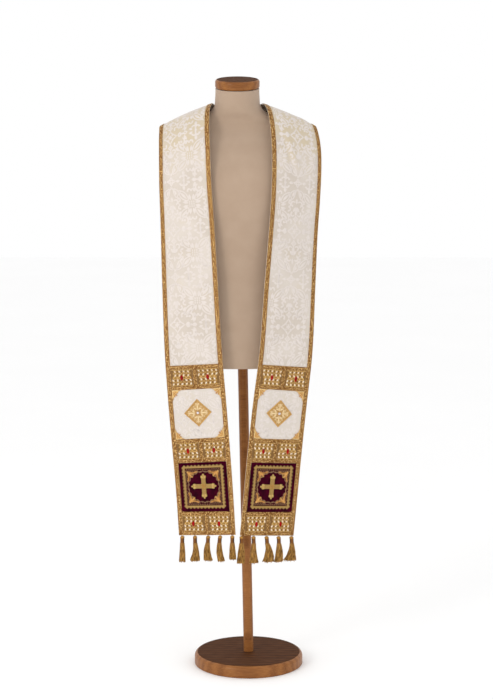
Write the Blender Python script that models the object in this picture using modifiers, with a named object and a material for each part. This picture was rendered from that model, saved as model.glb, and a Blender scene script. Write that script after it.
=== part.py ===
"""A clerical stole worn on a dress form: two brocade strips joined in a mitred seam at the centre
back, trimmed with gold galloon, lattice bands, velvet squares, appliques and tassels.

Every piece of the stole is cut flat and then draped. Flat space is (u, v, w): u runs across the
strip from its centre line, outwards from the neck; v runs up the strip from the hem; w stands off
the strip's underside. A Drape maps flat space onto the form. Metres, +Z up, the front faces -Y.
Piece names end in r for the wearer's right half (-X) and l for the left half (+X)."""

import math
from collections import namedtuple

import bmesh
import bpy
import numpy as np
from mathutils import Matrix, Vector

# Driving dimensions -------------------------------------------------------------------------

GAP = 0.0003  # between pieces that touch

STRIP_WIDTH = 0.160
STRIP_THICK = 0.0020  # brocade, interlining and lining
BRAID_WIDTH = 0.013
BRAID_THICK = 0.0012
CROSS_BRAID = 0.011  # width of the braids across the strip
DIVIDER_WIDTH = 0.010
LATTICE_THICK = 0.0010
LATTICE_HEIGHT = 0.045
SQUARE_HEIGHT = 0.136  # plain brocade square
VELVET_HEIGHT = 0.1385
VELVET_THICK = 0.0013
APPLIQUE_THICK = 0.0010
CROSS_THICK = 0.0016

DIAMOND_SIDE = 0.054
DIAMOND_RISE = 0.003  # how far above the middle of its square it is sewn
FRAME_WIDTH, FRAME_HEIGHT, FRAME_BAND = 0.112, 0.118, 0.0063  # without its scallops
FRAME_RISE = 0.001  # how far above the middle of the velvet it is sewn
SCALLOPS_ACROSS, SCALLOPS_UP, SCALLOP_RISE = 11, 12, 0.003
CROSS_SPAN, CROSS_ARM = 0.070, 0.0132
CROSS_RISE = 0.0026

TASSEL_HEAD, TASSEL_NECK = 0.0058, 0.0055  # radii
TASSEL_FLATNESS = 0.85  # its depth against its width

PLUMB_X = -0.031  # the bust and the cloth hang plumb here: the pole leans from the base's centre
BASE_RADIUS, BASE_HEIGHT, BASE_ROUND = 0.1535, 0.033, 0.012
POLE_RADIUS = 0.014
CAP_RADIUS, CAP_HEIGHT, CAP_ROUND, CAP_TILT = 0.061, 0.025, 0.007, math.radians(9)
NECK_TOP = 1.6207

# Where the shared fold lines run, so that pieces that lie on each other have parallel facets.
FIELD = STRIP_WIDTH / 2 - BRAID_WIDTH  # half the width between the edge braids
U_LINES = (-FIELD, -FIELD / 2, 0.0, FIELD / 2, FIELD)
HANGING_STEP, SHOULDER_STEP = 0.060, 0.020
SHOULDER_START = 0.92
FAN_START = 1.18  # above this the rows fan out to the mitred seam
FAN_ROWS = 10

# How the strips lie -------------------------------------------------------------------------
# Each row is a section across a strip: where its centre is (out from the plumb line, y, z), how
# far its outer edge turns back and drops, in degrees, and how far its middle bows outwards.

Section = namedtuple("Section", "out y z turn drop bow")

BACK = (
    Section(0.1380, 0.0360, 1.5490, 20, 26, 0.004),
    Section(0.1190, 0.0700, 1.5290, 16, 33, 0.004),
    Section(0.0850, 0.0990, 1.4890, 13, 40, 0.003),
    Section(0.0420, 0.1170, 1.4440, 10, 44, 0.002),
    Section(0.0000, 0.1270, 1.4040, 10, 44, 0.002),
    Section(-0.0580, 0.1410, 1.3480, 10, 44, 0.002),
    Section(-0.0940, 0.1496, 1.3130, 10, 44, 0.002),
)
STRIP_R = (
    Section(0.0830, -0.1270, 0.4010, 11, 0, 0.001),
    Section(0.0880, -0.1290, 0.4900, 11, 0, 0.001),
    Section(0.1103, -0.1310, 0.7820, 8, 0, 0.002),
    Section(0.1175, -0.1290, 0.8750, 11, 0, 0.002),
    Section(0.1285, -0.1220, 1.0890, 18, 0, 0.003),
    Section(0.1370, -0.1120, 1.2690, 24, 0, 0.005),
    Section(0.1430, -0.1000, 1.3700, 27, 2, 0.006),
    Section(0.1455, -0.0860, 1.4450, 28, 6, 0.007),
    Section(0.1475, -0.0600, 1.5040, 28, 13, 0.007),
    Section(0.1450, -0.0140, 1.5440, 25, 20, 0.005),
) + BACK
STRIP_L = (
    Section(0.0807, -0.1160, 0.3970, 21, 0, 0.001),
    Section(0.1170, -0.1170, 0.7680, 22, 0, 0.002),
    Section(0.1315, -0.1140, 0.8910, 24, 0, 0.002),
    Section(0.1440, -0.1080, 1.0890, 29, 0, 0.003),
    Section(0.1545, -0.1010, 1.2420, 33, 0, 0.005),
    Section(0.1605, -0.0950, 1.3220, 33, 1, 0.006),
    Section(0.1640, -0.0860, 1.4000, 32, 3, 0.007),
    Section(0.1635, -0.0720, 1.4600, 31, 8, 0.007),
    Section(0.1585, -0.0470, 1.5120, 29, 15, 0.007),
    Section(0.1490, -0.0070, 1.5460, 25, 21, 0.005),
) + BACK

# Horizontal sections of the bust: height, half width, depth in front of and behind the plumb
# line, and the power of the superellipse, from 2 (an ellipse) to squarer.
BustSection = namedtuple("BustSection", "z half front back power")

BUST = (
    BustSection(0.8600, 0.1640, 0.1080, 0.1140, 2.2),
    BustSection(0.9200, 0.1710, 0.1130, 0.1200, 2.2),
    BustSection(1.0000, 0.1660, 0.1140, 0.1120, 2.2),
    BustSection(1.0800, 0.1590, 0.1140, 0.1030, 2.2),
    BustSection(1.1600, 0.1620, 0.1170, 0.1040, 2.3),
    BustSection(1.2400, 0.1720, 0.1220, 0.1110, 2.3),
    BustSection(1.3100, 0.1820, 0.1260, 0.1200, 2.3),
    BustSection(1.3800, 0.1920, 0.1190, 0.1240, 2.4),
    BustSection(1.4400, 0.1990, 0.0960, 0.1140, 2.3),
    BustSection(1.4800, 0.2000, 0.0720, 0.0980, 2.4),
    BustSection(1.5000, 0.1910, 0.0560, 0.0830, 2.6),
    BustSection(1.5160, 0.1690, 0.0480, 0.0700, 2.6),
    BustSection(1.5300, 0.1390, 0.0460, 0.0630, 2.5),
    BustSection(1.5430, 0.1080, 0.0480, 0.0590, 2.3),
    BustSection(1.5560, 0.0800, 0.0540, 0.0560, 2.1),
    BustSection(1.5720, 0.0640, 0.0580, 0.0590, 2.0),
    BustSection(1.5940, 0.0610, 0.0600, 0.0600, 2.0),
    BustSection(NECK_TOP, 0.0600, 0.0600, 0.0600, 2.0),
)
BUST_POINTS, BUST_ROWS = 32, 28


# Curves -------------------------------------------------------------------------------------


def smooth(rows, count, columns):
    """A table's rows joined smoothly and sampled at count places, spaced along the curve that
    the named columns draw."""
    table = np.array(rows, float)
    places = table[:, [rows[0]._fields.index(name) for name in columns]]
    at = np.concatenate([[0], np.cumsum(np.linalg.norm(np.diff(places, axis=0), axis=1))])
    step, rise = np.diff(at)[:, None], np.diff(table, axis=0)
    slope = rise / step
    tangent = np.empty_like(table)
    tangent[0], tangent[-1] = slope[0], slope[-1]
    tangent[1:-1] = (slope[:-1] * step[1:] + slope[1:] * step[:-1]) / (step[:-1] + step[1:])
    wanted = np.linspace(0, at[-1], count)
    i = np.clip(np.searchsorted(at, wanted, side="right") - 1, 0, len(at) - 2)
    h = step[i]
    f = (wanted - at[i])[:, None] / h
    return (
        table[i]
        + rise[i] * (3 * f**2 - 2 * f**3)
        + tangent[i] * h * (f - 2 * f**2 + f**3)
        + tangent[i + 1] * h * (f**3 - f**2)
    )


def unit(vectors):
    return vectors / np.linalg.norm(vectors, axis=1, keepdims=True)


class Drape:
    """One half of the stole as it lies on the form."""

    def __init__(self, side, sections):
        self.side = side
        table = smooth(sections, 1500, ("out", "y", "z"))
        self.centre = table[:, :3]
        lengths = np.linalg.norm(np.diff(self.centre, axis=0), axis=1)
        self.v = np.concatenate([[0], np.cumsum(lengths)])
        along = unit(np.gradient(self.centre, self.v, axis=0))
        turn, drop = np.radians(table[:, 3]), np.radians(table[:, 4])
        across = np.stack(
            [np.cos(turn) * np.cos(drop), np.sin(turn), -np.cos(turn) * np.sin(drop)], axis=1
        )
        self.across = unit(across - along * np.sum(across * along, axis=1, keepdims=True))
        self.normal = np.cross(self.across, along)
        self.radius = STRIP_WIDTH**2 / (8 * table[:, 5])
        self.length = float(np.interp(0, -self.centre[:, 0], self.v))

    def at(self, values, v):
        return np.stack([np.interp(v, self.v, column) for column in values.T], axis=1)

    def on_strip(self, u, v, w):
        """Points of flat space as they lie, with x counted outwards from the plumb line."""
        radius = np.interp(v, self.v, self.radius)
        angle = u / radius
        sideways = (radius + w) * np.sin(angle)
        proud = (radius + w) * np.cos(angle) - radius
        return (
            self.at(self.centre, v)
            + self.at(self.across, v) * sideways[:, None]
            + self.at(self.normal, v) * proud[:, None]
        )

    def seam(self, u, w):
        """The v at which the strip meets the centre-back seam."""
        low, high = np.full_like(u, self.length - 0.12), np.full_like(u, self.length + 0.12)
        for _ in range(40):
            middle = (low + high) / 2
            outside = self.on_strip(u, middle, w)[:, 0] > GAP / 2
            low, high = np.where(outside, middle, low), np.where(outside, high, middle)
        return low

    def place(self, flat):
        """Flat points (u, v, w) as draped. Rows above FAN_START fan out to end on the seam."""
        u, v, w = np.array(flat, float).T
        part = np.clip((v - FAN_START) / (self.length - FAN_START), 0, 1)
        fanned = FAN_START + part * (self.seam(u, w) - FAN_START)
        points = self.on_strip(u, np.where(v > FAN_START, fanned, v), w)
        return points * [self.side, 1, 1]


# Flat pieces --------------------------------------------------------------------------------


def band_heights():
    """Flat v of each band's two edges, from the hem up: (kind, name, low, high)."""
    order = (
        ("braid", "6", CROSS_BRAID),
        ("lattice", "hem", LATTICE_HEIGHT),
        ("braid", "5", CROSS_BRAID),
        ("velvet", "velvet", VELVET_HEIGHT),
        ("braid", "4", CROSS_BRAID),
        ("lattice", "middle", LATTICE_HEIGHT),
        ("braid", "3", CROSS_BRAID),
        ("plain", "diamond", SQUARE_HEIGHT),
        ("braid", "2", CROSS_BRAID),
        ("lattice", "top", LATTICE_HEIGHT),
        ("braid", "1", CROSS_BRAID),
    )
    low = 0.0
    for kind, name, height in order:
        yield kind, name, low, low + height
        low += height


def v_lines(length):
    """The fold lines across a strip: at the bands' edges, then sparse, then dense at the
    shoulder."""
    lines = [high for _, _, _, high in band_heights()]
    lines += [(low + high) / 2 for kind, _, low, high in band_heights() if kind in ("velvet", "plain")]
    lines += list(np.arange(lines[10] + HANGING_STEP, SHOULDER_START, HANGING_STEP))
    lines += list(np.arange(SHOULDER_START, FAN_START, SHOULDER_STEP))
    lines += list(np.linspace(FAN_START, length, FAN_ROWS)[:-1])
    return sorted(lines)


def box(u0, u1, v0, v1, w0, w1):
    """A flat piece with square edges."""
    bm = bmesh.new()
    bmesh.ops.create_cube(bm, size=1)
    size = Matrix.Diagonal((u1 - u0, v1 - v0, w1 - w0, 1))
    middle = Matrix.Translation(((u0 + u1) / 2, (v0 + v1) / 2, (w0 + w1) / 2))
    bmesh.ops.transform(bm, matrix=middle @ size, verts=bm.verts)
    return bm


def cut_out(outlines, v_middle, w0, w1):
    """A flat piece from closed outlines around (0, v_middle). An inner outline is a hole."""
    curve = bpy.data.curves.new("outline", "CURVE")
    curve.dimensions, curve.fill_mode, curve.extrude = "2D", "BOTH", (w1 - w0) / 2
    for outline in outlines:
        spline = curve.splines.new("POLY")
        spline.points.add(len(outline) - 1)
        spline.use_cyclic_u = True
        for point, (u, v) in zip(spline.points, outline):
            point.co = (u, v, 0, 1)
    shape = bpy.data.objects.new("outline", curve)
    bpy.context.scene.collection.objects.link(shape)
    mesh = bpy.data.meshes.new_from_object(
        shape.evaluated_get(bpy.context.evaluated_depsgraph_get())
    )
    bpy.data.objects.remove(shape)
    bm = bmesh.new()
    bm.from_mesh(mesh)
    bpy.data.meshes.remove(mesh)
    bpy.data.curves.remove(curve)
    bmesh.ops.remove_doubles(bm, verts=bm.verts, dist=1e-6)
    bmesh.ops.translate(bm, verts=bm.verts, vec=(0, v_middle, (w0 + w1) / 2))
    bmesh.ops.recalc_face_normals(bm, faces=bm.faces)
    return bm


def crease(bm, axis, places):
    """Cuts the flat piece's faces along the fold lines that cross it."""
    direction = Vector((0, 0, 0))
    direction[axis] = 1
    low = min(vert.co[axis] for vert in bm.verts) + 1e-4
    high = max(vert.co[axis] for vert in bm.verts) - 1e-4
    for place in places:
        if low < place < high:
            bmesh.ops.bisect_plane(
                bm,
                geom=[*bm.verts, *bm.edges, *bm.faces],
                dist=1e-6,
                plane_co=direction * place,
                plane_no=direction,
            )


def scalloped_oblong(width, height):
    """An oblong whose edge runs in small half-round scallops."""
    points, steps = [], 3
    for corner in range(4):
        length, depth, scallops = width, height, SCALLOPS_ACROSS
        if corner % 2:
            length, depth, scallops = height, width, SCALLOPS_UP
        c, s = round(math.cos(corner * math.pi / 2)), round(math.sin(corner * math.pi / 2))
        for i in range(scallops * steps):
            along = length * (i / (scallops * steps) - 0.5)
            out = depth / 2 + SCALLOP_RISE * math.sin(math.pi * (i % steps) / steps)
            points.append((along * c + out * s, along * s - out * c))
    return points


def oblong(width, height):
    x, y = width / 2, height / 2
    return [(-x, -y), (x, -y), (x, y), (-x, y)]


def lobed_cross(span, arm):
    """A cross with four equal straight arms. Each ends in two round lobes and a point."""
    half, reach = arm / 2, span / 2
    lobe, shoulder, tip = arm * 0.34, reach - arm * 1.25, reach - arm * 0.36
    middle = (half - lobe * 0.5, reach - arm * 0.80)
    arm_points = [(half, half), (half, shoulder)]
    for degrees in (-40, 0, 40, 80):
        turn = math.radians(degrees)
        arm_points.append((middle[0] + lobe * math.cos(turn), middle[1] + lobe * math.sin(turn)))
    arm_points += [(half * 0.35, tip), (0, reach)]
    arm_points += [(-x, y) for x, y in reversed(arm_points[1:-1])]
    points = []
    for quarter in range(4):
        c, s = round(math.cos(quarter * math.pi / 2)), round(math.sin(quarter * math.pi / 2))
        points += [(x * c - y * s, x * s + y * c) for x, y in arm_points]
    return points


# Objects ------------------------------------------------------------------------------------


def material(name, colour, roughness, metallic=0.0):
    made = bpy.data.materials.new(name)
    made.use_nodes = True
    shader = made.node_tree.nodes["Principled BSDF"]
    shader.inputs["Base Color"].default_value = (*colour, 1)
    shader.inputs["Roughness"].default_value = roughness
    shader.inputs["Metallic"].default_value = metallic
    return made


class Workshop:
    """Where the objects are made: their collection, their materials and the plumb line that the
    bust and the cloth hang from."""

    def __init__(self):
        for old in list(bpy.data.objects):
            bpy.data.objects.remove(old)
        self.collection = bpy.data.collections.new("clerical_stole_on_dress_form")
        bpy.context.scene.collection.children.link(self.collection)
        self.plumb_line = bpy.data.objects.new("plumb_line", None)
        self.plumb_line.location = (PLUMB_X, 0, 0)
        self.collection.objects.link(self.plumb_line)
        self.materials = {
            "brocade": material("brocade", (0.78, 0.70, 0.62), 0.45),
            "galloon": material("galloon", (0.36, 0.21, 0.07), 0.40, 0.6),
            "lattice": material("lattice", (0.62, 0.48, 0.26), 0.45, 0.3),
            "velvet": material("velvet", (0.05, 0.0, 0.012), 0.85),
            "embroidery": material("embroidery", (0.45, 0.29, 0.10), 0.40, 0.5),
            "tassel_thread": material("tassel_thread", (0.30, 0.17, 0.05), 0.50, 0.3),
            "jersey": material("jersey", (0.52, 0.37, 0.27), 0.85),
            "wood": material("wood", (0.26, 0.12, 0.04), 0.35),
        }

    def add(self, name, data, slot, hangs=True):
        made = bpy.data.objects.new(name, data)
        made.data.materials.append(self.materials[slot])
        self.collection.objects.link(made)
        if hangs:
            made.parent = self.plumb_line
        return made

    def draped(self, name, bm, slot, drape, lines):
        """A flat piece, folded along the shared lines and laid on the form."""
        crease(bm, 0, U_LINES)
        crease(bm, 1, lines)
        placed = drape.place([vert.co[:] for vert in bm.verts])
        for vert, point in zip(bm.verts, placed):
            vert.co = point
        if drape.side < 0:
            bmesh.ops.reverse_faces(bm, faces=bm.faces)
        # The shorter diagonal, so that a piece's facets match those of the piece it lies on.
        bmesh.ops.triangulate(bm, faces=bm.faces, quad_method="SHORT_EDGE")
        mesh = bpy.data.meshes.new(name)
        bm.to_mesh(mesh)
        bm.free()
        return self.add(name, mesh, slot)

    def turned(self, name, profile, slot, steps, hangs=True):
        """A round piece from a profile of (radius, z) points, from its top down its side."""
        mesh = bpy.data.meshes.new(name)
        mesh.from_pydata(
            [(radius, 0, z) for radius, z in profile],
            [(i, i + 1) for i in range(len(profile) - 1)],
            [],
        )
        made = self.add(name, mesh, slot, hangs)
        screw = made.modifiers.new("turn", "SCREW")
        screw.steps = screw.render_steps = steps
        screw.use_merge_vertices = True
        screw.merge_threshold = 1e-5
        return made


def make_strip(shop, letter, drape):
    """The brocade strip with its trimmings."""
    half = STRIP_WIDTH / 2
    field = FIELD - GAP
    on = STRIP_THICK + GAP
    lines = v_lines(drape.length)

    def lay(name, bm, slot):
        shop.draped(f"{name}_{letter}", bm, slot, drape, lines)

    top = drape.length
    lay("strip", box(-half, half, 0, top, 0, STRIP_THICK), "brocade")
    lay("edge_braid_inner", box(-half, -FIELD, 0, top, on, on + BRAID_THICK), "galloon")
    lay("edge_braid_outer", box(FIELD, half, 0, top, on, on + BRAID_THICK), "galloon")

    for kind, name, low, high in band_heights():
        low, high, middle = low + GAP / 2, high - GAP / 2, (low + high) / 2
        if kind == "braid":
            lay(f"cross_braid_{name}", box(-field, field, low, high, on, on + BRAID_THICK), "galloon")
        elif kind == "lattice":
            post = DIVIDER_WIDTH / 2
            lay(f"divider_{name}", box(-post, post, low, high, on, on + BRAID_THICK), "galloon")
            start = post + GAP
            lay(
                f"lattice_{name}_inner",
                box(-field, -start, low, high, on, on + LATTICE_THICK),
                "lattice",
            )
            lay(
                f"lattice_{name}_outer",
                box(start, field, low, high, on, on + LATTICE_THICK),
                "lattice",
            )
        elif kind == "velvet":
            lay("velvet", box(-field, field, low, high, on, on + VELVET_THICK), "velvet")
            sewn = on + VELVET_THICK + GAP
            outer = scalloped_oblong(FRAME_WIDTH, FRAME_HEIGHT)
            inner = oblong(FRAME_WIDTH - 2 * FRAME_BAND, FRAME_HEIGHT - 2 * FRAME_BAND)
            frame = cut_out([outer, inner], middle + FRAME_RISE, sewn, sewn + APPLIQUE_THICK)
            lay("frame", frame, "embroidery")
            outline = [lobed_cross(CROSS_SPAN, CROSS_ARM)]
            lay("cross", cut_out(outline, middle + CROSS_RISE, sewn, sewn + CROSS_THICK), "embroidery")
        else:
            diamond = cut_out([oblong(DIAMOND_SIDE, DIAMOND_SIDE)], 0, on, on + APPLIQUE_THICK)
            bmesh.ops.rotate(diamond, verts=diamond.verts, matrix=Matrix.Rotation(math.pi / 4, 3, "Z"))
            bmesh.ops.translate(diamond, verts=diamond.verts, vec=(0, middle + DIAMOND_RISE, 0))
            lay("diamond", diamond, "embroidery")


# How each tassel hangs, from the inner end of the hem outwards: where along the hem it is sewn,
# its length, how far it leans out from the hem in degrees, how far its neck, middle and end are
# off the plumb line from where it is sewn, outwards, and the half widths of its middle and end.
TasselHang = namedtuple("TasselHang", "u length out neck middle middle_half end end_half")

TASSELS_R = (
    TasselHang(-0.0705, 0.0704, 2, 0.0000, -0.0003, 0.0076, -0.0012, 0.0092),
    TasselHang(-0.0363, 0.0760, 0, 0.0020, 0.0018, 0.0079, -0.0039, 0.0095),
    TasselHang(-0.0027, 0.0729, 3, 0.0012, 0.0031, 0.0086, -0.0015, 0.0119),
    TasselHang(0.0345, 0.0741, 1, 0.0000, -0.0020, 0.0079, 0.0010, 0.0137),
    TasselHang(0.0705, 0.0760, 2, 0.0006, 0.0000, 0.0070, 0.0006, 0.0088),
)
TASSELS_L = (
    TasselHang(-0.0745, 0.0800, 1, 0.0000, -0.0008, 0.0088, -0.0028, 0.0102),
    TasselHang(-0.0394, 0.0785, 3, 0.0006, 0.0000, 0.0079, 0.0002, 0.0131),
    TasselHang(-0.0006, 0.0754, 0, 0.0016, 0.0070, 0.0098, 0.0031, 0.0160),
    TasselHang(0.0355, 0.0754, 2, 0.0010, 0.0018, 0.0092, -0.0012, 0.0113),
    TasselHang(0.0743, 0.0716, 1, 0.0012, 0.0010, 0.0089, -0.0051, 0.0175),
)
TASSEL_POINTS = 10


def tassel_rings(hang):
    """A tassel's sections from its ends up: how far off the plumb line, radius and height."""
    yield hang.end, hang.end_half, -hang.length
    yield hang.middle, hang.middle_half, -0.6 * hang.length
    yield hang.neck, TASSEL_NECK, -0.0215
    yield hang.neck * 0.5, TASSEL_NECK, -0.0090
    for degrees in (90, 60, 30, 12):
        turn = math.radians(degrees)
        yield 0.0, TASSEL_HEAD * math.sin(turn), -0.0045 * (1 - math.cos(turn))


def make_tassels(shop, letter, drape, hangs):
    """Five tassels sewn under the hem, each hanging its own way."""
    angles = [2 * math.pi * i / TASSEL_POINTS for i in range(TASSEL_POINTS)]
    for number, hang in enumerate(hangs, 1):
        rings = []
        for off, radius, z in tassel_rings(hang):
            depth = radius * TASSEL_FLATNESS
            rings.append(
                [(off * drape.side + radius * math.cos(a), depth * math.sin(a), z) for a in angles]
            )
        name = f"tassel_{number}_{letter}"
        tassel = shop.add(name, skinned(name, rings), "tassel_thread")
        top = Vector(drape.place([(hang.u, 0, STRIP_THICK / 2)])[0])
        tassel.location = top - Vector((0, 0, 0.0012))
        tassel.rotation_euler = (math.radians(-hang.out), 0, 0)


def skinned(name, rings):
    """A closed mesh through rings of points, each ring above the one before it."""
    bm = bmesh.new()
    loops = [[bm.verts.new(point) for point in ring] for ring in rings]
    for low, high in zip(loops, loops[1:]):
        for i in range(len(low)):
            j = (i + 1) % len(low)
            bm.faces.new((low[i], low[j], high[j], high[i]))
    bm.faces.new(reversed(loops[0]))
    bm.faces.new(loops[-1])
    mesh = bpy.data.meshes.new(name)
    bm.to_mesh(mesh)
    bm.free()
    return mesh


def bust_ring(row):
    """One horizontal section of the bust, as points around it."""
    z, half, front, back, power = row
    for i in range(BUST_POINTS):
        angle = 2 * math.pi * i / BUST_POINTS
        c, s = math.cos(angle), math.sin(angle)
        depth = back if s > 0 else front
        yield (
            half * math.copysign(abs(c) ** (2 / power), c),
            depth * math.copysign(abs(s) ** (2 / power), s),
            z,
        )


def make_form(shop):
    """The bust with its neck cap, on a leaning pole and a round base."""
    rings = [list(bust_ring(row)) for row in smooth(BUST, BUST_ROWS, ("z", "half"))]
    # The neck's top leans forward with its cap.
    rings[-1] = [(x, y, z + y * math.tan(CAP_TILT)) for x, y, z in rings[-1]]
    bust = shop.add("bust", skinned("bust", rings), "jersey")
    bust.data.shade_smooth()

    cap = shop.turned("neck_cap", rounded_disc(CAP_RADIUS, CAP_HEIGHT, CAP_ROUND, CAP_ROUND), "wood", 28)
    cap.location = (0, 0, NECK_TOP + GAP)
    cap.rotation_euler = (CAP_TILT, 0, 0)

    shop.turned("base", rounded_disc(BASE_RADIUS, BASE_HEIGHT, BASE_ROUND, 0.002), "wood", 40, hangs=False)

    foot = Vector((0, 0, BASE_HEIGHT + 2 * GAP))
    lean = math.atan2(PLUMB_X, NECK_TOP)
    head = Vector((PLUMB_X * BUST[0].z / NECK_TOP, 0, BUST[0].z - 2 * GAP))
    bpy.ops.mesh.primitive_cylinder_add(
        vertices=24, radius=POLE_RADIUS, depth=(head - foot).length, location=(foot + head) / 2
    )
    pole = bpy.context.object
    pole.name = "pole"
    pole.rotation_euler = (0, lean, 0)
    pole.data.materials.append(shop.materials["wood"])
    for collection in list(pole.users_collection):
        collection.objects.unlink(pole)
    shop.collection.objects.link(pole)


def rounded_disc(radius, height, top_round, bottom_round):
    """Profile of a disc that stands on z = 0, with its edges rounded."""
    profile = [(0, height)]
    for centre_z, start, rounding in ((height - top_round, 90, top_round), (bottom_round, 0, bottom_round)):
        for step in range(4):
            turn = math.radians(start - step * 30)
            profile.append(
                (radius - rounding + rounding * math.cos(turn), centre_z + rounding * math.sin(turn))
            )
    profile.append((0, 0))
    return profile


def main():
    shop = Workshop()
    for letter, side, sections, hangs in (
        ("r", -1, STRIP_R, TASSELS_R),
        ("l", 1, STRIP_L, TASSELS_L),
    ):
        drape = Drape(side, sections)
        make_strip(shop, letter, drape)
        make_tassels(shop, letter, drape, hangs)
    make_form(shop)


main()
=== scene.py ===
import math
from collections import namedtuple

import bpy
import numpy as np
from mathutils import Euler, Matrix, Vector


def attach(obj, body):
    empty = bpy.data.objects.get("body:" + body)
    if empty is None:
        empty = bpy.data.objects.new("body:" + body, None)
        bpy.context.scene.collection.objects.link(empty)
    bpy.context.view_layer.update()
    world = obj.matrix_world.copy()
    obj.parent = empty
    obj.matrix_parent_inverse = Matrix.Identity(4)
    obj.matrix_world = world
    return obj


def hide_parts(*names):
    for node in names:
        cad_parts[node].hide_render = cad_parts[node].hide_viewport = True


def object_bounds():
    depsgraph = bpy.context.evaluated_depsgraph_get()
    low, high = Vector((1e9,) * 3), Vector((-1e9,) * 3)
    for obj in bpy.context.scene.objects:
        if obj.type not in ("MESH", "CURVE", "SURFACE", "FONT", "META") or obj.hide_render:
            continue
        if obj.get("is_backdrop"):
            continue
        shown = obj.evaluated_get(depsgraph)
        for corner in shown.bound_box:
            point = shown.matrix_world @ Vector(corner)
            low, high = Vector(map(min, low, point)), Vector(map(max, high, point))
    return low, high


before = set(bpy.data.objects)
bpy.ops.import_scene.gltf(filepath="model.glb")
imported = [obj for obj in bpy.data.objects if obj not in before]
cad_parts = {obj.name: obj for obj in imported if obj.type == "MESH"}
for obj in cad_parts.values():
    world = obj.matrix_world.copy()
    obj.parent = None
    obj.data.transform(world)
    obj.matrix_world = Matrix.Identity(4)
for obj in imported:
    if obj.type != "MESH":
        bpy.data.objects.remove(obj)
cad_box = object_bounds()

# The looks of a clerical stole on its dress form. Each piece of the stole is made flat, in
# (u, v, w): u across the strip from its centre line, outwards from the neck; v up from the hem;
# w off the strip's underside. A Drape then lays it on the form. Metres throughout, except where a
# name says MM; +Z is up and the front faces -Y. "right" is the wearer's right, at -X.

MM = 0.001

# The sizes of the frame that the looks are laid on -------------------------------------------

GAP = 0.0003  # air left between one piece and the next
STRIP_WIDTH, STRIP_THICK = 0.160, 0.0020
BRAID_WIDTH, BRAID_THICK = 0.013, 0.0012
CROSS_BRAID, DIVIDER_WIDTH = 0.011, 0.010
LATTICE_HEIGHT, SQUARE_HEIGHT, VELVET_HEIGHT = 0.045, 0.136, 0.1385
VELVET_THICK = 0.0013
DIAMOND_SIDE, DIAMOND_RISE = 0.054, 0.003
FRAME_WIDTH, FRAME_HEIGHT, FRAME_BAND, FRAME_RISE = 0.112, 0.118, 0.0063, 0.001
SCALLOPS_ACROSS, SCALLOPS_UP, SCALLOP_RISE = 11, 12, 0.003
CROSS_SPAN, CROSS_ARM, CROSS_RISE = 0.070, 0.0132, 0.0026
TASSEL_HEAD, TASSEL_NECK, TASSEL_FLATNESS = 0.0058, 0.0055, 0.85
PLUMB_X = -0.031  # x of the bust and of the stole's seam, with the base at 0
BASE_RADIUS, BASE_HEIGHT = 0.1535, 0.033
POLE_RADIUS = 0.014
CAP_RADIUS, CAP_HEIGHT, CAP_TILT = 0.061, 0.025, math.radians(9)
NECK_TOP = 1.6207
FIELD = STRIP_WIDTH / 2 - BRAID_WIDTH  # half of what lies between the edge braids
FAN_START = 1.18  # over this v the rows fan out to end on the seam
ON = STRIP_THICK + GAP  # where the trimmings lie on the strip

# A strip's path from the hem up: how far its centre is out from PLUMB_X, its y and z, how far it
# is turned back and slopes down towards its outer edge, in degrees, and how much it bows across.
Section = namedtuple("Section", "out y z turn drop bow")

BACK = (
    Section(0.1380, 0.0360, 1.5490, 20, 26, 0.004),
    Section(0.1190, 0.0700, 1.5290, 16, 33, 0.004),
    Section(0.0850, 0.0990, 1.4890, 13, 40, 0.003),
    Section(0.0420, 0.1170, 1.4440, 10, 44, 0.002),
    Section(0.0000, 0.1270, 1.4040, 10, 44, 0.002),
    Section(-0.0580, 0.1410, 1.3480, 10, 44, 0.002),
    Section(-0.0940, 0.1496, 1.3130, 10, 44, 0.002),
)
STRIP_R = (
    Section(0.0830, -0.1270, 0.4010, 11, 0, 0.001),
    Section(0.0880, -0.1290, 0.4900, 11, 0, 0.001),
    Section(0.1103, -0.1310, 0.7820, 8, 0, 0.002),
    Section(0.1175, -0.1290, 0.8750, 11, 0, 0.002),
    Section(0.1285, -0.1220, 1.0890, 18, 0, 0.003),
    Section(0.1370, -0.1120, 1.2690, 24, 0, 0.005),
    Section(0.1430, -0.1000, 1.3700, 27, 2, 0.006),
    Section(0.1455, -0.0860, 1.4450, 28, 6, 0.007),
    Section(0.1475, -0.0600, 1.5040, 28, 13, 0.007),
    Section(0.1450, -0.0140, 1.5440, 25, 20, 0.005),
) + BACK
STRIP_L = (
    Section(0.0807, -0.1160, 0.3970, 21, 0, 0.001),
    Section(0.1170, -0.1170, 0.7680, 22, 0, 0.002),
    Section(0.1315, -0.1140, 0.8910, 24, 0, 0.002),
    Section(0.1440, -0.1080, 1.0890, 29, 0, 0.003),
    Section(0.1545, -0.1010, 1.2420, 33, 0, 0.005),
    Section(0.1605, -0.0950, 1.3220, 33, 1, 0.006),
    Section(0.1640, -0.0860, 1.4000, 32, 3, 0.007),
    Section(0.1635, -0.0720, 1.4600, 31, 8, 0.007),
    Section(0.1585, -0.0470, 1.5120, 29, 15, 0.007),
    Section(0.1490, -0.0070, 1.5460, 25, 21, 0.005),
) + BACK

# Level sections of the bust. They are ovals where the power is 2, and squarer over it.
BustSection = namedtuple("BustSection", "z half front back power")

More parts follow.
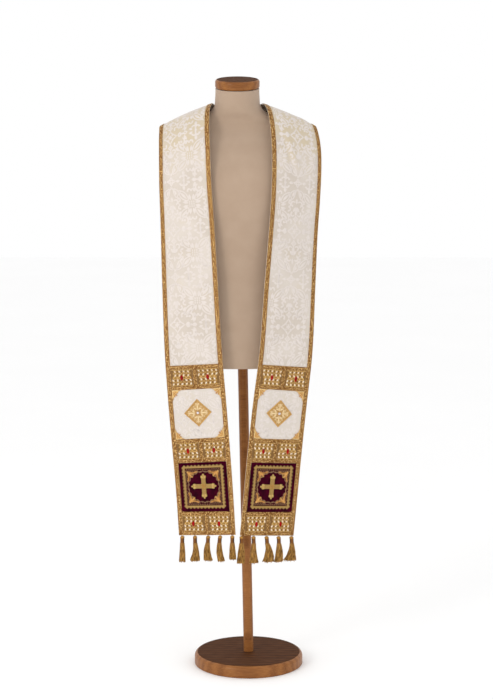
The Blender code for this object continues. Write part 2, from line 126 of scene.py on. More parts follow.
BUST = (
    BustSection(0.8600, 0.1640, 0.1080, 0.1140, 2.2),
    BustSection(0.9200, 0.1710, 0.1130, 0.1200, 2.2),
    BustSection(1.0000, 0.1660, 0.1140, 0.1120, 2.2),
    BustSection(1.0800, 0.1590, 0.1140, 0.1030, 2.2),
    BustSection(1.1600, 0.1620, 0.1170, 0.1040, 2.3),
    BustSection(1.2400, 0.1720, 0.1220, 0.1110, 2.3),
    BustSection(1.3100, 0.1820, 0.1260, 0.1200, 2.3),
    BustSection(1.3800, 0.1920, 0.1190, 0.1240, 2.4),
    BustSection(1.4400, 0.1990, 0.0960, 0.1140, 2.3),
    BustSection(1.4800, 0.2000, 0.0720, 0.0980, 2.4),
    BustSection(1.5000, 0.1910, 0.0560, 0.0830, 2.6),
    BustSection(1.5160, 0.1690, 0.0480, 0.0700, 2.6),
    BustSection(1.5300, 0.1390, 0.0460, 0.0630, 2.5),
    BustSection(1.5430, 0.1080, 0.0480, 0.0590, 2.3),
    BustSection(1.5560, 0.0800, 0.0540, 0.0560, 2.1),
    BustSection(1.5720, 0.0640, 0.0580, 0.0590, 2.0),
    BustSection(1.5940, 0.0610, 0.0600, 0.0600, 2.0),
    BustSection(NECK_TOP, 0.0600, 0.0600, 0.0600, 2.0),
)

# How each tassel hangs, from the inner end of the hem outwards: where along the hem it is sewn,
# its length, how far it leans out from the hem in degrees, how far its neck, middle and end are
# off the plumb line from where it is sewn, outwards, and the half widths of its middle and end.
TasselHang = namedtuple("TasselHang", "u length out neck middle middle_half end end_half")

TASSELS_R = (
    TasselHang(-0.0705, 0.0704, 2, 0.0000, -0.0003, 0.0076, -0.0012, 0.0092),
    TasselHang(-0.0363, 0.0760, 0, 0.0020, 0.0018, 0.0079, -0.0039, 0.0095),
    TasselHang(-0.0027, 0.0729, 3, 0.0012, 0.0031, 0.0086, -0.0015, 0.0119),
    TasselHang(0.0345, 0.0741, 1, 0.0000, -0.0020, 0.0079, 0.0010, 0.0137),
    TasselHang(0.0705, 0.0760, 2, 0.0006, 0.0000, 0.0070, 0.0006, 0.0088),
)
TASSELS_L = (
    TasselHang(-0.0745, 0.0800, 1, 0.0000, -0.0008, 0.0088, -0.0028, 0.0102),
    TasselHang(-0.0394, 0.0785, 3, 0.0006, 0.0000, 0.0079, 0.0002, 0.0131),
    TasselHang(-0.0006, 0.0754, 0, 0.0016, 0.0070, 0.0098, 0.0031, 0.0160),
    TasselHang(0.0355, 0.0754, 2, 0.0010, 0.0018, 0.0092, -0.0012, 0.0113),
    TasselHang(0.0743, 0.0716, 1, 0.0012, 0.0010, 0.0089, -0.0051, 0.0175),
)

# Soft creases in the cloth: from (u0, v0) to (u1, v1), how wide and how high, a trough if below 0.
Crease = namedtuple("Crease", "u0 v0 u1 v1 width height")

CREASES_R = (
    Crease(0.070, 0.300, 0.020, 0.262, 0.010, 0.0014),
    Crease(-0.060, 0.345, -0.020, 0.330, 0.009, -0.0012),
    Crease(0.060, 0.610, 0.030, 0.560, 0.014, 0.0018),
    Crease(-0.062, 0.760, -0.030, 0.820, 0.014, -0.0016),
    Crease(0.066, 0.960, 0.034, 1.040, 0.011, 0.0022),
    Crease(-0.050, 1.130, 0.010, 1.090, 0.012, 0.0018),
    Crease(0.070, 1.265, 0.030, 1.235, 0.010, 0.0014),
)
CREASES_L = (
    Crease(0.066, 0.330, 0.030, 0.285, 0.010, -0.0014),
    Crease(-0.060, 0.270, -0.025, 0.250, 0.009, 0.0013),
    Crease(-0.060, 0.600, -0.020, 0.650, 0.014, 0.0018),
    Crease(0.064, 0.790, 0.040, 0.700, 0.012, -0.0016),
    Crease(-0.040, 1.120, 0.006, 0.990, 0.008, 0.0036),
    Crease(-0.052, 1.110, -0.006, 0.985, 0.007, -0.0020),
    Crease(0.056, 1.060, 0.048, 1.000, 0.007, 0.0026),
    Crease(0.010, 1.180, 0.060, 1.210, 0.011, 0.0016),
)


# Curves and the drape -----------------------------------------------------------------------


def smooth(rows, count, columns):
    """A table's rows joined smoothly and sampled at count places, spaced along the curve that
    the named columns draw."""
    table = np.array(rows, float)
    places = table[:, [rows[0]._fields.index(name) for name in columns]]
    at = np.concatenate([[0], np.cumsum(np.linalg.norm(np.diff(places, axis=0), axis=1))])
    step, rise = np.diff(at)[:, None], np.diff(table, axis=0)
    slope = rise / step
    tangent = np.empty_like(table)
    tangent[0], tangent[-1] = slope[0], slope[-1]
    tangent[1:-1] = (slope[:-1] * step[1:] + slope[1:] * step[:-1]) / (step[:-1] + step[1:])
    wanted = np.linspace(0, at[-1], count)
    i = np.clip(np.searchsorted(at, wanted, side="right") - 1, 0, len(at) - 2)
    h = step[i]
    f = (wanted - at[i])[:, None] / h
    return (
        table[i]
        + rise[i] * (3 * f**2 - 2 * f**3)
        + tangent[i] * h * (f - 2 * f**2 + f**3)
        + tangent[i + 1] * h * (f**3 - f**2)
    )


def unit(vectors):
    return vectors / np.linalg.norm(vectors, axis=1, keepdims=True)


class Drape:
    """One half of the stole as it lies on the form. Side -1 is the wearer's right, 1 the left."""

    def __init__(self, side, sections, creases):
        self.side, self.creases = side, creases
        self.side_name, self.letter = ("right", "r") if side < 0 else ("left", "l")
        table = smooth(sections, 1500, ("out", "y", "z"))
        self.centre = table[:, :3]
        lengths = np.linalg.norm(np.diff(self.centre, axis=0), axis=1)
        self.v = np.concatenate([[0], np.cumsum(lengths)])
        along = unit(np.gradient(self.centre, self.v, axis=0))
        turn, drop = np.radians(table[:, 3]), np.radians(table[:, 4])
        across = np.stack(
            [np.cos(turn) * np.cos(drop), np.sin(turn), -np.cos(turn) * np.sin(drop)], axis=1
        )
        self.across = unit(across - along * np.sum(across * along, axis=1, keepdims=True))
        self.normal = np.cross(self.across, along)
        self.radius = STRIP_WIDTH**2 / (8 * table[:, 5])
        self.length = float(np.interp(0, -self.centre[:, 0], self.v))

    def at(self, values, v):
        return np.stack([np.interp(v, self.v, column) for column in values.T], axis=1)

    def on_strip(self, u, v, w):
        """Points of flat space as they lie, with x counted outwards from the plumb line."""
        radius = np.interp(v, self.v, self.radius)
        angle = u / radius
        sideways = (radius + w) * np.sin(angle)
        proud = (radius + w) * np.cos(angle) - radius
        return (
            self.at(self.centre, v)
            + self.at(self.across, v) * sideways[:, None]
            + self.at(self.normal, v) * proud[:, None]
        )

    def seam(self, u, w):
        """The v at which the strip meets the centre-back seam."""
        low, high = np.full_like(u, self.length - 0.12), np.full_like(u, self.length + 0.12)
        for _ in range(26):
            middle = (low + high) / 2
            outside = self.on_strip(u, middle, w)[:, 0] > GAP / 2
            low, high = np.where(outside, middle, low), np.where(outside, high, middle)
        return low

    def lift(self, u, v):
        """How far the creases raise the cloth at (u, v)."""
        raised = np.zeros_like(u)
        for crease in self.creases:
            run = np.array([crease.u1 - crease.u0, crease.v1 - crease.v0])
            reach = np.hypot(*run)
            away_u, away_v = u - crease.u0, v - crease.v0
            along = (away_u * run[0] + away_v * run[1]) / reach**2
            off = (away_u * run[1] - away_v * run[0]) / reach
            ends = np.clip(np.sin(np.pi * np.clip(along, 0, 1)), 0, 1)
            raised += crease.height * ends * np.exp(-((off / crease.width) ** 2))
        return raised

    def place(self, flat):
        """Flat points (u, v, w) as draped. Rows above FAN_START fan out to end on the seam."""
        u, v, w = flat.T
        w = w + self.lift(u, v)
        v = v.copy()
        high = v > FAN_START
        if high.any():
            part = (v[high] - FAN_START) / (self.length - FAN_START)
            v[high] = FAN_START + part * (self.seam(u[high], w[high]) - FAN_START)
        return self.on_strip(u, v, w) * [self.side, 1, 1] + [PLUMB_X, 0, 0]

    def make(self, piece, name, slot=None, nodes=(), angle=50, place=None):
        """Lays a flat piece on the form, or hangs it by place, and names it for its side."""
        replaces = [f"{node}_{self.letter}" for node in nodes]
        name = f"{name}_{self.side_name}"
        return piece.make(name, place or self.place, slot, replaces, self.side < 0, angle)


# Closed shapes ------------------------------------------------------------------------------
# A shape is (points, quads, caps): an array of points, an array of four-cornered faces and a list
# of many-cornered ones.


def circle(count):
    """Angles spaced evenly round a full turn."""
    return np.linspace(0, 2 * np.pi, count, endpoint=False)


def ellipse(u, v, half_u, half_v, turns):
    return np.column_stack([u + half_u * np.cos(turns), v + half_v * np.sin(turns)])


def spun(points, angle):
    """Flat points turned about (0, 0)."""
    x, y = np.asarray(points, float).T
    c, s = math.cos(angle), math.sin(angle)
    return np.column_stack([x * c - y * s, x * s + y * c])


def at_height(points, w):
    return np.column_stack([points, np.full(len(points), w)])


def closed_under(top, w0):
    """A row of points, then two under its ends, which close it into a ring."""
    under = top[[-1, 0]].copy()
    under[:, 2] = w0
    return np.vstack([top, under])


def loft(rows, looped=False):
    """A closed skin through rows of points, each row a ring around the shape."""
    rows = np.asarray(rows, float)
    count, around = rows.shape[:2]
    index = np.arange(count * around).reshape(count, around)
    ends = [] if looped else [index[0][::-1].tolist(), index[-1].tolist()]
    if looped:
        index = np.vstack([index, index[:1]])
    low, high = index[:-1], index[1:]
    quads = np.stack([low, np.roll(low, -1, 1), np.roll(high, -1, 1), high], axis=-1)
    points, quads = rows.reshape(-1, 3), quads.reshape(-1, 4)
    if volume(points, quads, ends) < 0:
        quads, ends = quads[:, ::-1], [face[::-1] for face in ends]
    return points, quads, ends


def volume(points, quads, caps):
    """The volume inside the faces, below 0 if they face inwards."""
    triangles = [quads[:, [0, 1, 2]], quads[:, [0, 2, 3]]]
    for face in caps:
        triangles.append(np.array([[face[0], b, c] for b, c in zip(face[1:], face[2:])]))
    a, b, c = (points - points.mean(0))[np.vstack(triangles)].transpose(1, 0, 2)
    return float(np.sum(a * np.cross(b, c)))


def panel(u0, u1, v0, v1, w0, w1, columns, rows, rounding=0.0):
    """A flat panel with its edges at u0 and u1 rounded."""
    us = np.linspace(u0 + rounding, u1 - rounding, columns)
    ring = [(u, w1) for u in us] + [(u, w0) for u in us[::-1]]
    if rounding:
        turns = np.linspace(np.pi / 2, -np.pi / 2, 5)[1:-1]
        middle, half = (w0 + w1) / 2, (w1 - w0) / 2
        right = [(us[-1] + rounding * np.cos(t), middle + half * np.sin(t)) for t in turns]
        left = [(us[0] - rounding * np.cos(t), middle - half * np.sin(t)) for t in turns]
        ring = ring[:columns] + right + ring[columns:] + left
    u, w = np.array(ring).T
    return loft([np.column_stack([u, np.full(len(u), v), w]) for v in np.linspace(v0, v1, rows)])


# A stroke's section, as shares of its half width and its rise.
SECTIONS = {
    "cord": ((-1, 0), (-0.72, 0.72), (0, 1), (0.72, 0.72), (1, 0)),
    "flat": ((-1, 0), (-0.82, 1), (0.82, 1), (1, 0)),
    "loop": ((-1, 0), (-0.6, 0.8), (0, 1), (0.6, 0.8), (1, 0)),
}


def stroke(path, widths, w0, rise, section="cord"):
    """A raised line along (u, v) points: a round cord, a flat thread, or a loop, which closes."""
    path, looped = np.asarray(path, float), section == "loop"
    along = np.roll(path, -1, 0) - np.roll(path, 1, 0) if looped else np.gradient(path, axis=0)
    along /= np.linalg.norm(along, axis=1, keepdims=True) + 1e-12
    side = np.column_stack([-along[:, 1], along[:, 0]])
    half = (np.zeros(len(path)) + widths)[:, None] / 2
    rings = [at_height(path + side * half * across, w0 + rise * up) for across, up in SECTIONS[section]]
    return loft(np.stack(rings, axis=1), looped)


def dome(u, v, half_u, half_v, w0, rise, turn=0.0, around=10, rings=4, ribs=0, rib_depth=0.0):
    """A rounded mound, such as a pearl or a padded lobe."""
    angles, rows = circle(around), []
    for lift in np.pi / 2 * np.linspace(0, 1, rings + 1)[:-1]:
        reach = np.cos(lift) * (1 + rib_depth * np.cos(ribs * angles) * np.cos(lift))
        outline = ellipse(0, 0, half_u * reach, half_v * reach, angles)
        rows.append(at_height(spun(outline, turn) + [u, v], w0 + rise * np.sin(lift)))
    return loft(rows)


def mound(outline, middle, w0, rise, steps):
    """A cut-out that narrows to its middle by steps: (share of its outline, share of its rise)."""
    return loft([at_height(middle + (outline - middle) * scale, w0 + rise * up) for scale, up in steps])


class Piece:
    """Closed shapes gathered into one mesh, each shape with its own finish."""

    def __init__(self):
        self.points, self.charts, self.quads, self.caps = [], [], [], []
        self.finishes, self.quad_kinds, self.cap_kinds, self.count = [], [], [], 0

    def add(self, shape, finish, chart=None):
        points, quads, caps = shape
        if finish not in self.finishes:
            self.finishes.append(finish)
        kind = self.finishes.index(finish)
        self.points.append(points)
        self.charts.append(points[:, :2] if chart is None else chart)
        self.quads.append(quads + self.count)
        self.caps += [[i + self.count for i in face] for face in caps]
        self.quad_kinds += [kind] * len(quads)
        self.cap_kinds += [kind] * len(caps)
        self.count += len(points)

    def make(self, name, place, slot, replaces=(), mirrored=False, angle=50):
        points, quads, caps = place(np.vstack(self.points)), np.vstack(self.quads), self.caps
        if mirrored:
            quads, caps = quads[:, ::-1], [face[::-1] for face in caps]
        mesh = bpy.data.meshes.new(name)
        mesh.from_pydata(points.tolist(), [], quads.tolist() + caps)
        for finish in self.finishes:
            mesh.materials.append(finish)
        mesh.polygons.foreach_set("material_index", self.quad_kinds + self.cap_kinds)
        corner = np.empty(len(mesh.loops), int)
        mesh.loops.foreach_get("vertex_index", corner)
        chart = np.vstack(self.charts)[corner]
        mesh.uv_layers.new(name="flat").data.foreach_set("uv", chart.ravel())
        mesh.shade_smooth()
        mesh.set_sharp_from_angle(angle=math.radians(angle))
        made = bpy.data.objects.new(name, mesh)
        bpy.context.scene.collection.objects.link(made)
        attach(made, "root")
        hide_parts(*replaces)
        return made


# Materials ----------------------------------------------------------------------------------


def colour(red, green, blue):
    """A colour given as it looks on a screen, 0 to 255, as the shader wants it."""
    parts = [part / 255 for part in (red, green, blue)]
    return (*[part / 12.92 if part <= 0.04045 else ((part + 0.055) / 1.055) ** 2.4 for part in parts], 1)


class Finish:
    """A material made of nodes."""

    def __init__(self, name, **sockets):
        self.made = bpy.data.materials.new(name)
        self.made.use_nodes = True
        self.tree = self.made.node_tree
        self.shader = self.tree.nodes["Principled BSDF"]
        for socket, value in sockets.items():
            self.shader.inputs[socket.replace("_", " ")].default_value = value

    def node(self, kind, settings=None, inputs=None, out=0):
        node = self.tree.nodes.new("ShaderNode" + kind)
        for name, value in (settings or {}).items():
            setattr(node, name, value)
        for name, value in (inputs or {}).items():
            if isinstance(value, bpy.types.NodeSocket):
                self.tree.links.new(value, node.inputs[name])
            else:
                node.inputs[name].default_value = value
        return node.outputs[out]

    def flat(self):
        return self.node("UVMap", {"uv_map": "flat"})

    def solid(self):
        return self.node("TexCoord", out=3)

    def stretched(self, vector, x, y, z=1.0):
        return self.node("Mapping", inputs={"Vector": vector, "Scale": (x, y, z)})

    def noise(self, vector, size, detail=3.0):
        """Cloudy noise with patches of about that size, in metres."""
        return self.node("TexNoise", inputs={"Vector": vector, "Scale": 1 / size, "Detail": detail})

    def bands(self, vector, direction, pitch, waver=0.0):
        """Stripes across the given direction, pitch metres apart."""
        settings = {"wave_type": "BANDS", "bands_direction": direction}
        inputs = {"Vector": vector, "Scale": math.pi / 10 / pitch, "Distortion": waver, "Detail": 1.0}
        return self.node("TexWave", settings, inputs, out=1)

    def math(self, operation, a, b):
        return self.node("Math", {"operation": operation}, {0: a, 1: b})

    def range(self, value, low, high, to_low=0.0, to_high=1.0):
        inputs = {"Value": value, 1: low, 2: high, 3: to_low, 4: to_high}
        return self.node("MapRange", None, inputs)

    def mix(self, factor, *ends):
        """A blend of two ends, each a socket or a colour as it looks on a screen."""
        a, b = [colour(*end) if isinstance(end, tuple) else end for end in ends]
        return self.node("Mix", {"data_type": "RGBA"}, {0: factor, 6: a, 7: b}, out=2)

    def bump(self, height, distance, strength=1.0):
        inputs = {"Height": height, "Distance": distance, "Strength": strength}
        self.link(self.node("Bump", None, inputs), "Normal")

    def link(self, socket, name):
        self.tree.links.new(socket, self.shader.inputs[name])


def woven(finish, vector, pitch):
    """A plain weave: warp and weft threads that cross."""
    warp = finish.bands(vector, "X", pitch)
    weft = finish.bands(vector, "Y", pitch * 1.15)
    return finish.math("MULTIPLY", warp, weft)


PAINTED_SHOULDER_SHADE = (0.98, 1.14)  # over these v the ground takes a painted gold-beige shade, as over the shoulder
SQUARES_TOP = (0.40, 0.50)  # below these v, on the squares, painted sheen lightens the ground, so the figure is faint


def silk(name, light, dark, pitch, roughness, sheen, depth, painted_shoulder_shade=None, painted_sheen=None):
    """Woven silk: a fine weave, slubs, slow changes of tone, a painted gold-beige shade at the shoulder,
    and painted sheen, which lightens the ground to the figure's tone in patches and on the squares."""
    glow = {"Sheen_Weight": sheen, "Sheen_Roughness": 0.35}
    made = Finish(name, Roughness=roughness, Specular_IOR_Level=0.4, **glow)
    flat = made.flat()
    weave = woven(made, flat, pitch)
    slubs = made.noise(made.stretched(flat, 1, 0.12), 0.0016)
    clouds = made.range(made.noise(flat, 0.07), 0.35, 0.65, 0, 0.35)
    tone = made.math("ADD", made.range(slubs, 0.3, 0.7, 0, 0.45), clouds)
    tone = made.math("ADD", tone, made.math("MULTIPLY", weave, 0.25))
    shade = made.mix(tone, dark, light)
    if painted_shoulder_shade:
        up = made.node("SeparateXYZ", None, {"Vector": flat}, out=1)
        # painted sheen: in patches and on the squares the ground is lightened to the figure's tone, as
        # where the satin catches the light
        painted_sheen_patches = made.range(made.noise(flat, 0.11, 1.0), 0.44, 0.62, 0.0, 0.6)
        painted_sheen_share = made.math("MAXIMUM", painted_sheen_patches, made.range(up, *SQUARES_TOP, 0.65, 0.0))
        shade = made.mix(painted_sheen_share, shade, painted_sheen)
        # painted shade: over the shoulder the ground turns gold-beige, in patches
        painted_shade_patches = made.range(made.noise(flat, 0.05), 0.35, 0.65, -0.35, 0.35)
        share = made.range(made.math("ADD", made.range(up, *PAINTED_SHOULDER_SHADE), painted_shade_patches), 0.2, 1.0)
        shade = made.mix(share, shade, painted_shoulder_shade)
    made.link(shade, "Base Color")
    made.bump(made.math("ADD", weave, made.math("MULTIPLY", slubs, 0.6)), depth)
    return made.made


def gold_braid():
    """Galloon of gilt thread, with painted shade between the ribs and in patches, and painted glints where
    a strand would turn to the light.
    """
    made = Finish("gold_galloon", Metallic=0.45, Roughness=0.42, Specular_IOR_Level=0.2)
    flat = made.flat()
    # ribs: painted shade, darker between the ribs
    ribs = made.range(made.bands(flat, "X", BRAID_WIDTH / 3), 0.0, 0.8, 0.55, 1.0)
    strands = made.bands(flat, "DIAGONAL", 0.0026, 2.0)
    sparks = made.noise(flat, 0.0032, 1.0)
    lit = made.math("MULTIPLY", sparks, made.range(strands, 0.0, 1.0, 0.85, 1.1))
    painted_glint = made.math("MULTIPLY", made.range(lit, 0.52, 0.60), ribs)
    # painted shade in patches over the plaits
    painted_shadow = made.range(made.noise(made.stretched(flat, 1, 1.3), 0.0044, 1.0), 0.40, 0.58, 0.2, 0.85)
    base = made.mix(made.math("MULTIPLY", painted_shadow, ribs), (92, 54, 20), (152, 102, 46))
    # painted glints: a pale gold mixed in where sparks and strands meet on the ribs
    made.link(made.mix(painted_glint, base, (246, 206, 134)), "Base Color")
    made.link(made.range(painted_glint, 0, 1, 0.5, 0.28), "Roughness")
    made.bump(made.math("ADD", strands, sparks), 0.0004)
    return made.made


def gilt(name, dark, light, painted_glint_colour, pitch=0.0008, metal=0.3):
    """Embroidery in gilt thread, laid side by side, with painted glints."""
    made = Finish(name, Metallic=metal, Roughness=0.4, Specular_IOR_Level=0.6)
    flat = made.flat()
    threads = made.bands(flat, "DIAGONAL", pitch * 2, 1.0)
    grains = made.noise(flat, 0.0009, 2.0)
    base = made.mix(made.math("MULTIPLY", made.math("ADD", threads, grains), 0.6), dark, light)
    # painted glints: a pale colour mixed in where the grains are high
    painted_glint = made.range(grains, 0.56, 0.70)
    made.link(made.mix(painted_glint, base, painted_glint_colour), "Base Color")
    made.link(made.range(grains, 0.3, 0.7, 0.5, 0.3), "Roughness")
    made.bump(made.math("ADD", threads, grains), 0.0002)
    return made.made


def velvet():
    """Velvet: a short dense pile that catches the light at its edges."""
    glow = {"Sheen_Weight": 0.2, "Sheen_Roughness": 0.3}
    made = Finish("dark_red_velvet", Roughness=0.8, Specular_IOR_Level=0.05, **glow)
    made.shader.inputs["Sheen Tint"].default_value = colour(170, 10, 70)
    flat = made.flat()
    pile = made.noise(flat, 0.0006, 2.0)
    crushed = made.noise(flat, 0.018, 3.0)
    shade = made.math("ADD", made.range(crushed, 0.35, 0.65, 0, 0.7), made.range(pile, 0.3, 0.7, 0, 0.3))
    made.link(made.mix(shade, (32, 0, 12), (68, 0, 27)), "Base Color")
    made.bump(made.math("ADD", pile, made.math("MULTIPLY", crushed, 2.0)), 0.0004)
    return made.made


def olive_ground():
    """The cloth of the lattice bands: olive and gold threads, almost hidden by the cords."""
    made = Finish("lattice_ground", Metallic=0.2, Roughness=0.55)
    flat = made.flat()
    weave = woven(made, flat, 0.0012)
    grains = made.noise(flat, 0.0015, 2.0)
    tone = made.math("MULTIPLY", made.math("ADD", weave, grains), 0.7)
    made.link(made.mix(tone, (78, 50, 18), (156, 112, 50)), "Base Color")
    made.bump(weave, 0.0003)
    return made.made


def pearl():
    made = Finish("pearl", Roughness=0.22, Coat_Weight=0.6, Coat_Roughness=0.08, Specular_IOR_Level=0.6)
    clouds = made.noise(made.flat(), 0.002, 2.0)
    made.link(made.mix(made.range(clouds, 0.35, 0.65), (250, 244, 232), (234, 220, 194)), "Base Color")
    made.bump(made.noise(made.flat(), 0.0008), 0.00004)
    return made.made


def stone(name, deep, bright, roughness=0.06):
    """A cut glass stone. Its facets do most of the work; patches of deep and bright colour are painted
    light inside the stone.
    """
    made = Finish(name, Roughness=roughness, Coat_Weight=0.06, Coat_Roughness=0.05, Specular_IOR_Level=0.2)
    # painted light: patches of deep and bright colour, for light bent and thrown back in the stone
    inside = made.noise(made.flat(), 0.0032, 2.0)
    made.link(made.mix(made.range(inside, 0.38, 0.62), deep, bright), "Base Color")
    made.bump(inside, 0.0002)
    return made.made


def thread_twist(name, dark, light):
    """Twisted gilt thread of the tassels, in clumps lit apart by painted light and shade."""
    made = Finish(name, Metallic=0.3, Roughness=0.45, Specular_IOR_Level=0.2)
    flat = made.flat()
    twist = made.bands(made.stretched(flat, 2.0, 1.0), "DIAGONAL", 0.0012, 0.5)
    # painted light and shade: clumps of thread lighter and darker
    painted_clump_light = made.range(made.noise(made.stretched(flat, 1.0, 0.22), 0.0026, 1.0), 0.40, 0.62, 0, 0.85)
    tone = made.math("ADD", made.math("MULTIPLY", twist, 0.25), painted_clump_light)
    made.link(made.mix(tone, dark, light), "Base Color")
    made.bump(twist, 0.0002)
    return made.made


def jersey():
    """The bust's cover: beige cotton jersey with fine courses of stitches."""
    glow = {"Sheen_Weight": 0.2, "Sheen_Roughness": 0.5}
    made = Finish("beige_jersey", Roughness=0.85, Specular_IOR_Level=0.25, **glow)
    solid = made.solid()
    courses = made.bands(solid, "Z", 0.0011)
    squashed = made.stretched(solid, 1, 1, 0.6)
    stitches = made.node("TexVoronoi", None, {"Vector": squashed, "Scale": 1 / 0.0011})
    mottle = made.noise(solid, 0.05)
    tone = made.math("ADD", made.range(mottle, 0.35, 0.65, 0.24, 0.46), made.math("MULTIPLY", courses, 0.3))
    made.link(made.mix(tone, (166, 142, 121), (186, 163, 142)), "Base Color")
    made.bump(made.math("ADD", courses, stitches), 0.00018)
    return made.made


def wood(name, dark, light, roughness, coat):
    """Turned beech, stained and varnished, with its grain along X."""
    made = Finish(name, Roughness=roughness, Coat_Weight=coat, Coat_Roughness=0.2, Specular_IOR_Level=0.15)
    solid = made.solid()
    grain = made.noise(made.stretched(solid, 0.10, 1.0, 1.6), 0.0035, 6.0)
    rings = made.bands(made.stretched(solid, 0.12, 1.0, 1.3), "Y", 0.022, 5.0)
    tone = made.math("ADD", made.range(grain, 0.3, 0.7, 0, 0.6), made.math("MULTIPLY", rings, 0.4))
    made.link(made.mix(tone, dark, light), "Base Color")
    made.link(made.range(grain, 0.3, 0.7, roughness + 0.1, roughness - 0.05), "Roughness")
    made.bump(grain, 0.00012)
    return made.made


def floor_finish():
    made = Finish("pale_floor", Roughness=0.8)
    clouds = made.noise(made.solid(), 0.8)
    made.link(made.mix(clouds, (251, 251, 251), (254, 254, 254)), "Base Color")
    return made.made


BROCADE = silk(
    "cream_brocade",
    (208, 197, 186),
    (195, 184, 172),
    0.0006,
    0.42,
    0.25,
    0.00012,
    # painted shade over the shoulder, then painted sheen
    painted_shoulder_shade=(202, 187, 161),
    painted_sheen=(215, 206, 197),
)
FIGURE = silk("brocade_figure", (224, 215, 209), (213, 203, 196), 0.0009, 0.5, 0.2, 0.0002)
LINING = silk("cream_lining", (204, 192, 176), (190, 176, 158), 0.0005, 0.5, 0.2, 0.0001)
GALLOON = gold_braid()
VELVET = velvet()
GROUND = olive_ground()
# each gilt finish: dark, light, then the colour of its painted glints
CORD = gilt("lattice_cord", (172, 124, 50), (230, 186, 100), (255, 242, 192), pitch=0.0016)
EMBROIDERY = gilt("gold_embroidery", (110, 80, 32), (174, 138, 68), (224, 190, 112))
LOBE = gilt("cross_lobe_embroidery", (150, 118, 56), (208, 174, 94), (250, 228, 156))
HEART = gilt("cross_heart_embroidery", (120, 80, 28), (190, 142, 58), (228, 184, 98))
# brighter gold, partly a painted highlight on the fleurons
BRIGHT_AND_PAINTED_HIGHLIGHT = gilt("bright_gold_embroidery_and_painted_highlight", (176, 118, 46), (232, 178, 92), (255, 232, 158))
ORANGE = gilt("orange_gold_embroidery", (140, 84, 30), (208, 146, 62), (246, 206, 124), 0.0016)
# dark brown: painted shade in the fleurons' webs, and the colour of the net's threads
WEB_AND_PAINTED_SHADE = gilt("brown_gold_embroidery_and_painted_shade", (66, 32, 16), (112, 66, 34), (170, 116, 62))
PALE = gilt("pale_gold_embroidery", (214, 180, 124), (240, 218, 172), (255, 248, 224), metal=0.1)
CORNER = gilt("corner_embroidery", (196, 152, 78), (240, 208, 142), (255, 246, 210), 0.0018, 0.2)
RIM = gilt("gold_outline", (176, 128, 58), (214, 170, 96), (246, 218, 156))
FILIGREE_GROUND = gilt("diamond_ground", (150, 110, 54), (192, 152, 90), (226, 190, 126))
NET = gilt("openwork_net", (136, 98, 66), (192, 152, 106), (224, 188, 136), metal=0.1)
PEARL = pearl()
RUBY = stone("red_stone", (70, 0, 8), (190, 3, 4), 0.12)
CRYSTAL = stone("clear_stone", (150, 140, 150), (244, 238, 240))
THREAD = thread_twist("tassel_thread", (88, 54, 18), (198, 150, 78))
THREAD_HEAD = thread_twist("tassel_head_thread", (112, 72, 26), (216, 164, 84))
THREAD_BOUND = thread_twist("tassel_binding_thread", (74, 42, 18), (142, 90, 44))
JERSEY = jersey()
WOOD_SIDE = wood("turned_wood", (112, 64, 28), (158, 104, 54), 0.36, 0.1)
# painted shade: the top faces get darker colours, for light from the front that leaves them darker
PAINTED_SHADE_WOOD_TOP = wood("turned_wood_top_painted_shade", (50, 22, 4), (92, 52, 14), 0.75, 0.0)


# The flat layout ----------------------------------------------------------------------------


def band_heights():
    """Flat v of each band's two edges, from the hem up: (kind, name, low, high)."""
    order = (
        ("braid", "6", CROSS_BRAID),
        ("lattice", "hem", LATTICE_HEIGHT),
        ("braid", "5", CROSS_BRAID),
        ("velvet", "velvet", VELVET_HEIGHT),
        ("braid", "4", CROSS_BRAID),
        ("lattice", "middle", LATTICE_HEIGHT),
        ("braid", "3", CROSS_BRAID),
        ("plain", "diamond", SQUARE_HEIGHT),
        ("braid", "2", CROSS_BRAID),
        ("lattice", "top", LATTICE_HEIGHT),
        ("braid", "1", CROSS_BRAID),
    )
    low = 0.0
    for kind, name, height in order:
        yield kind, name, low, low + height
        low += height


def band(wanted):
    """The lower and upper v of the first band of a kind."""
    return next((low, high) for kind, _, low, high in band_heights() if kind == wanted)


# Damask figure ------------------------------------------------------------------------------
# Each element is (path, widths), in millimetres around its motif's centre.


def hook(x, y, radius, start, sweep, width):
    """A C-scroll that winds in to a knob."""
    count = max(5, int(abs(math.radians(sweep)) * radius / 1.7))
    at = np.linspace(0, 1, count)
    reach = radius * (1 - 0.35 * at)
    widths = width * (0.45 + 0.55 * np.sin(np.pi * np.linspace(0.05, 0.95, count)))
    widths[-3:] = width * 1.25
    return ellipse(x, y, reach, reach, np.radians(start + sweep * at)), widths


def bar(x0, y0, x1, y1):
    """A short straight bar."""
    count = max(3, int(math.hypot(x1 - x0, y1 - y0) / 2.4))
    return np.linspace((x0, y0), (x1, y1), count), np.full(count, 4.0)


def leaf(x, y, length, width, angle, bend=0.0, solid=True):
    """A leaf about (x, y): solid, or its outline."""
    t = np.linspace(0, 1, max(7, int(length / 2.2)))
    swell, off = np.sin(np.pi * t) ** 0.75, bend * (1 - (2 * t - 1) ** 2)
    lines = [np.column_stack([(t - 0.5) * length, off + side * swell * width / 2]) for side in (0, 1, -1)]
    middle, left, right = [spun(line, math.radians(angle)) + [x, y] for line in lines]
    if solid:
        return middle, np.maximum(0.5, width * swell)
    outline = np.vstack([left, right[::-1][1:]])
    return outline, np.full(len(outline), 2.6)


def ring(x, y, radius, width):
    turns = np.linspace(0, 2 * np.pi, max(5, int(2 * math.pi * radius / 1.7)))
    return ellipse(x, y, radius, radius, turns), np.full(len(turns), width)


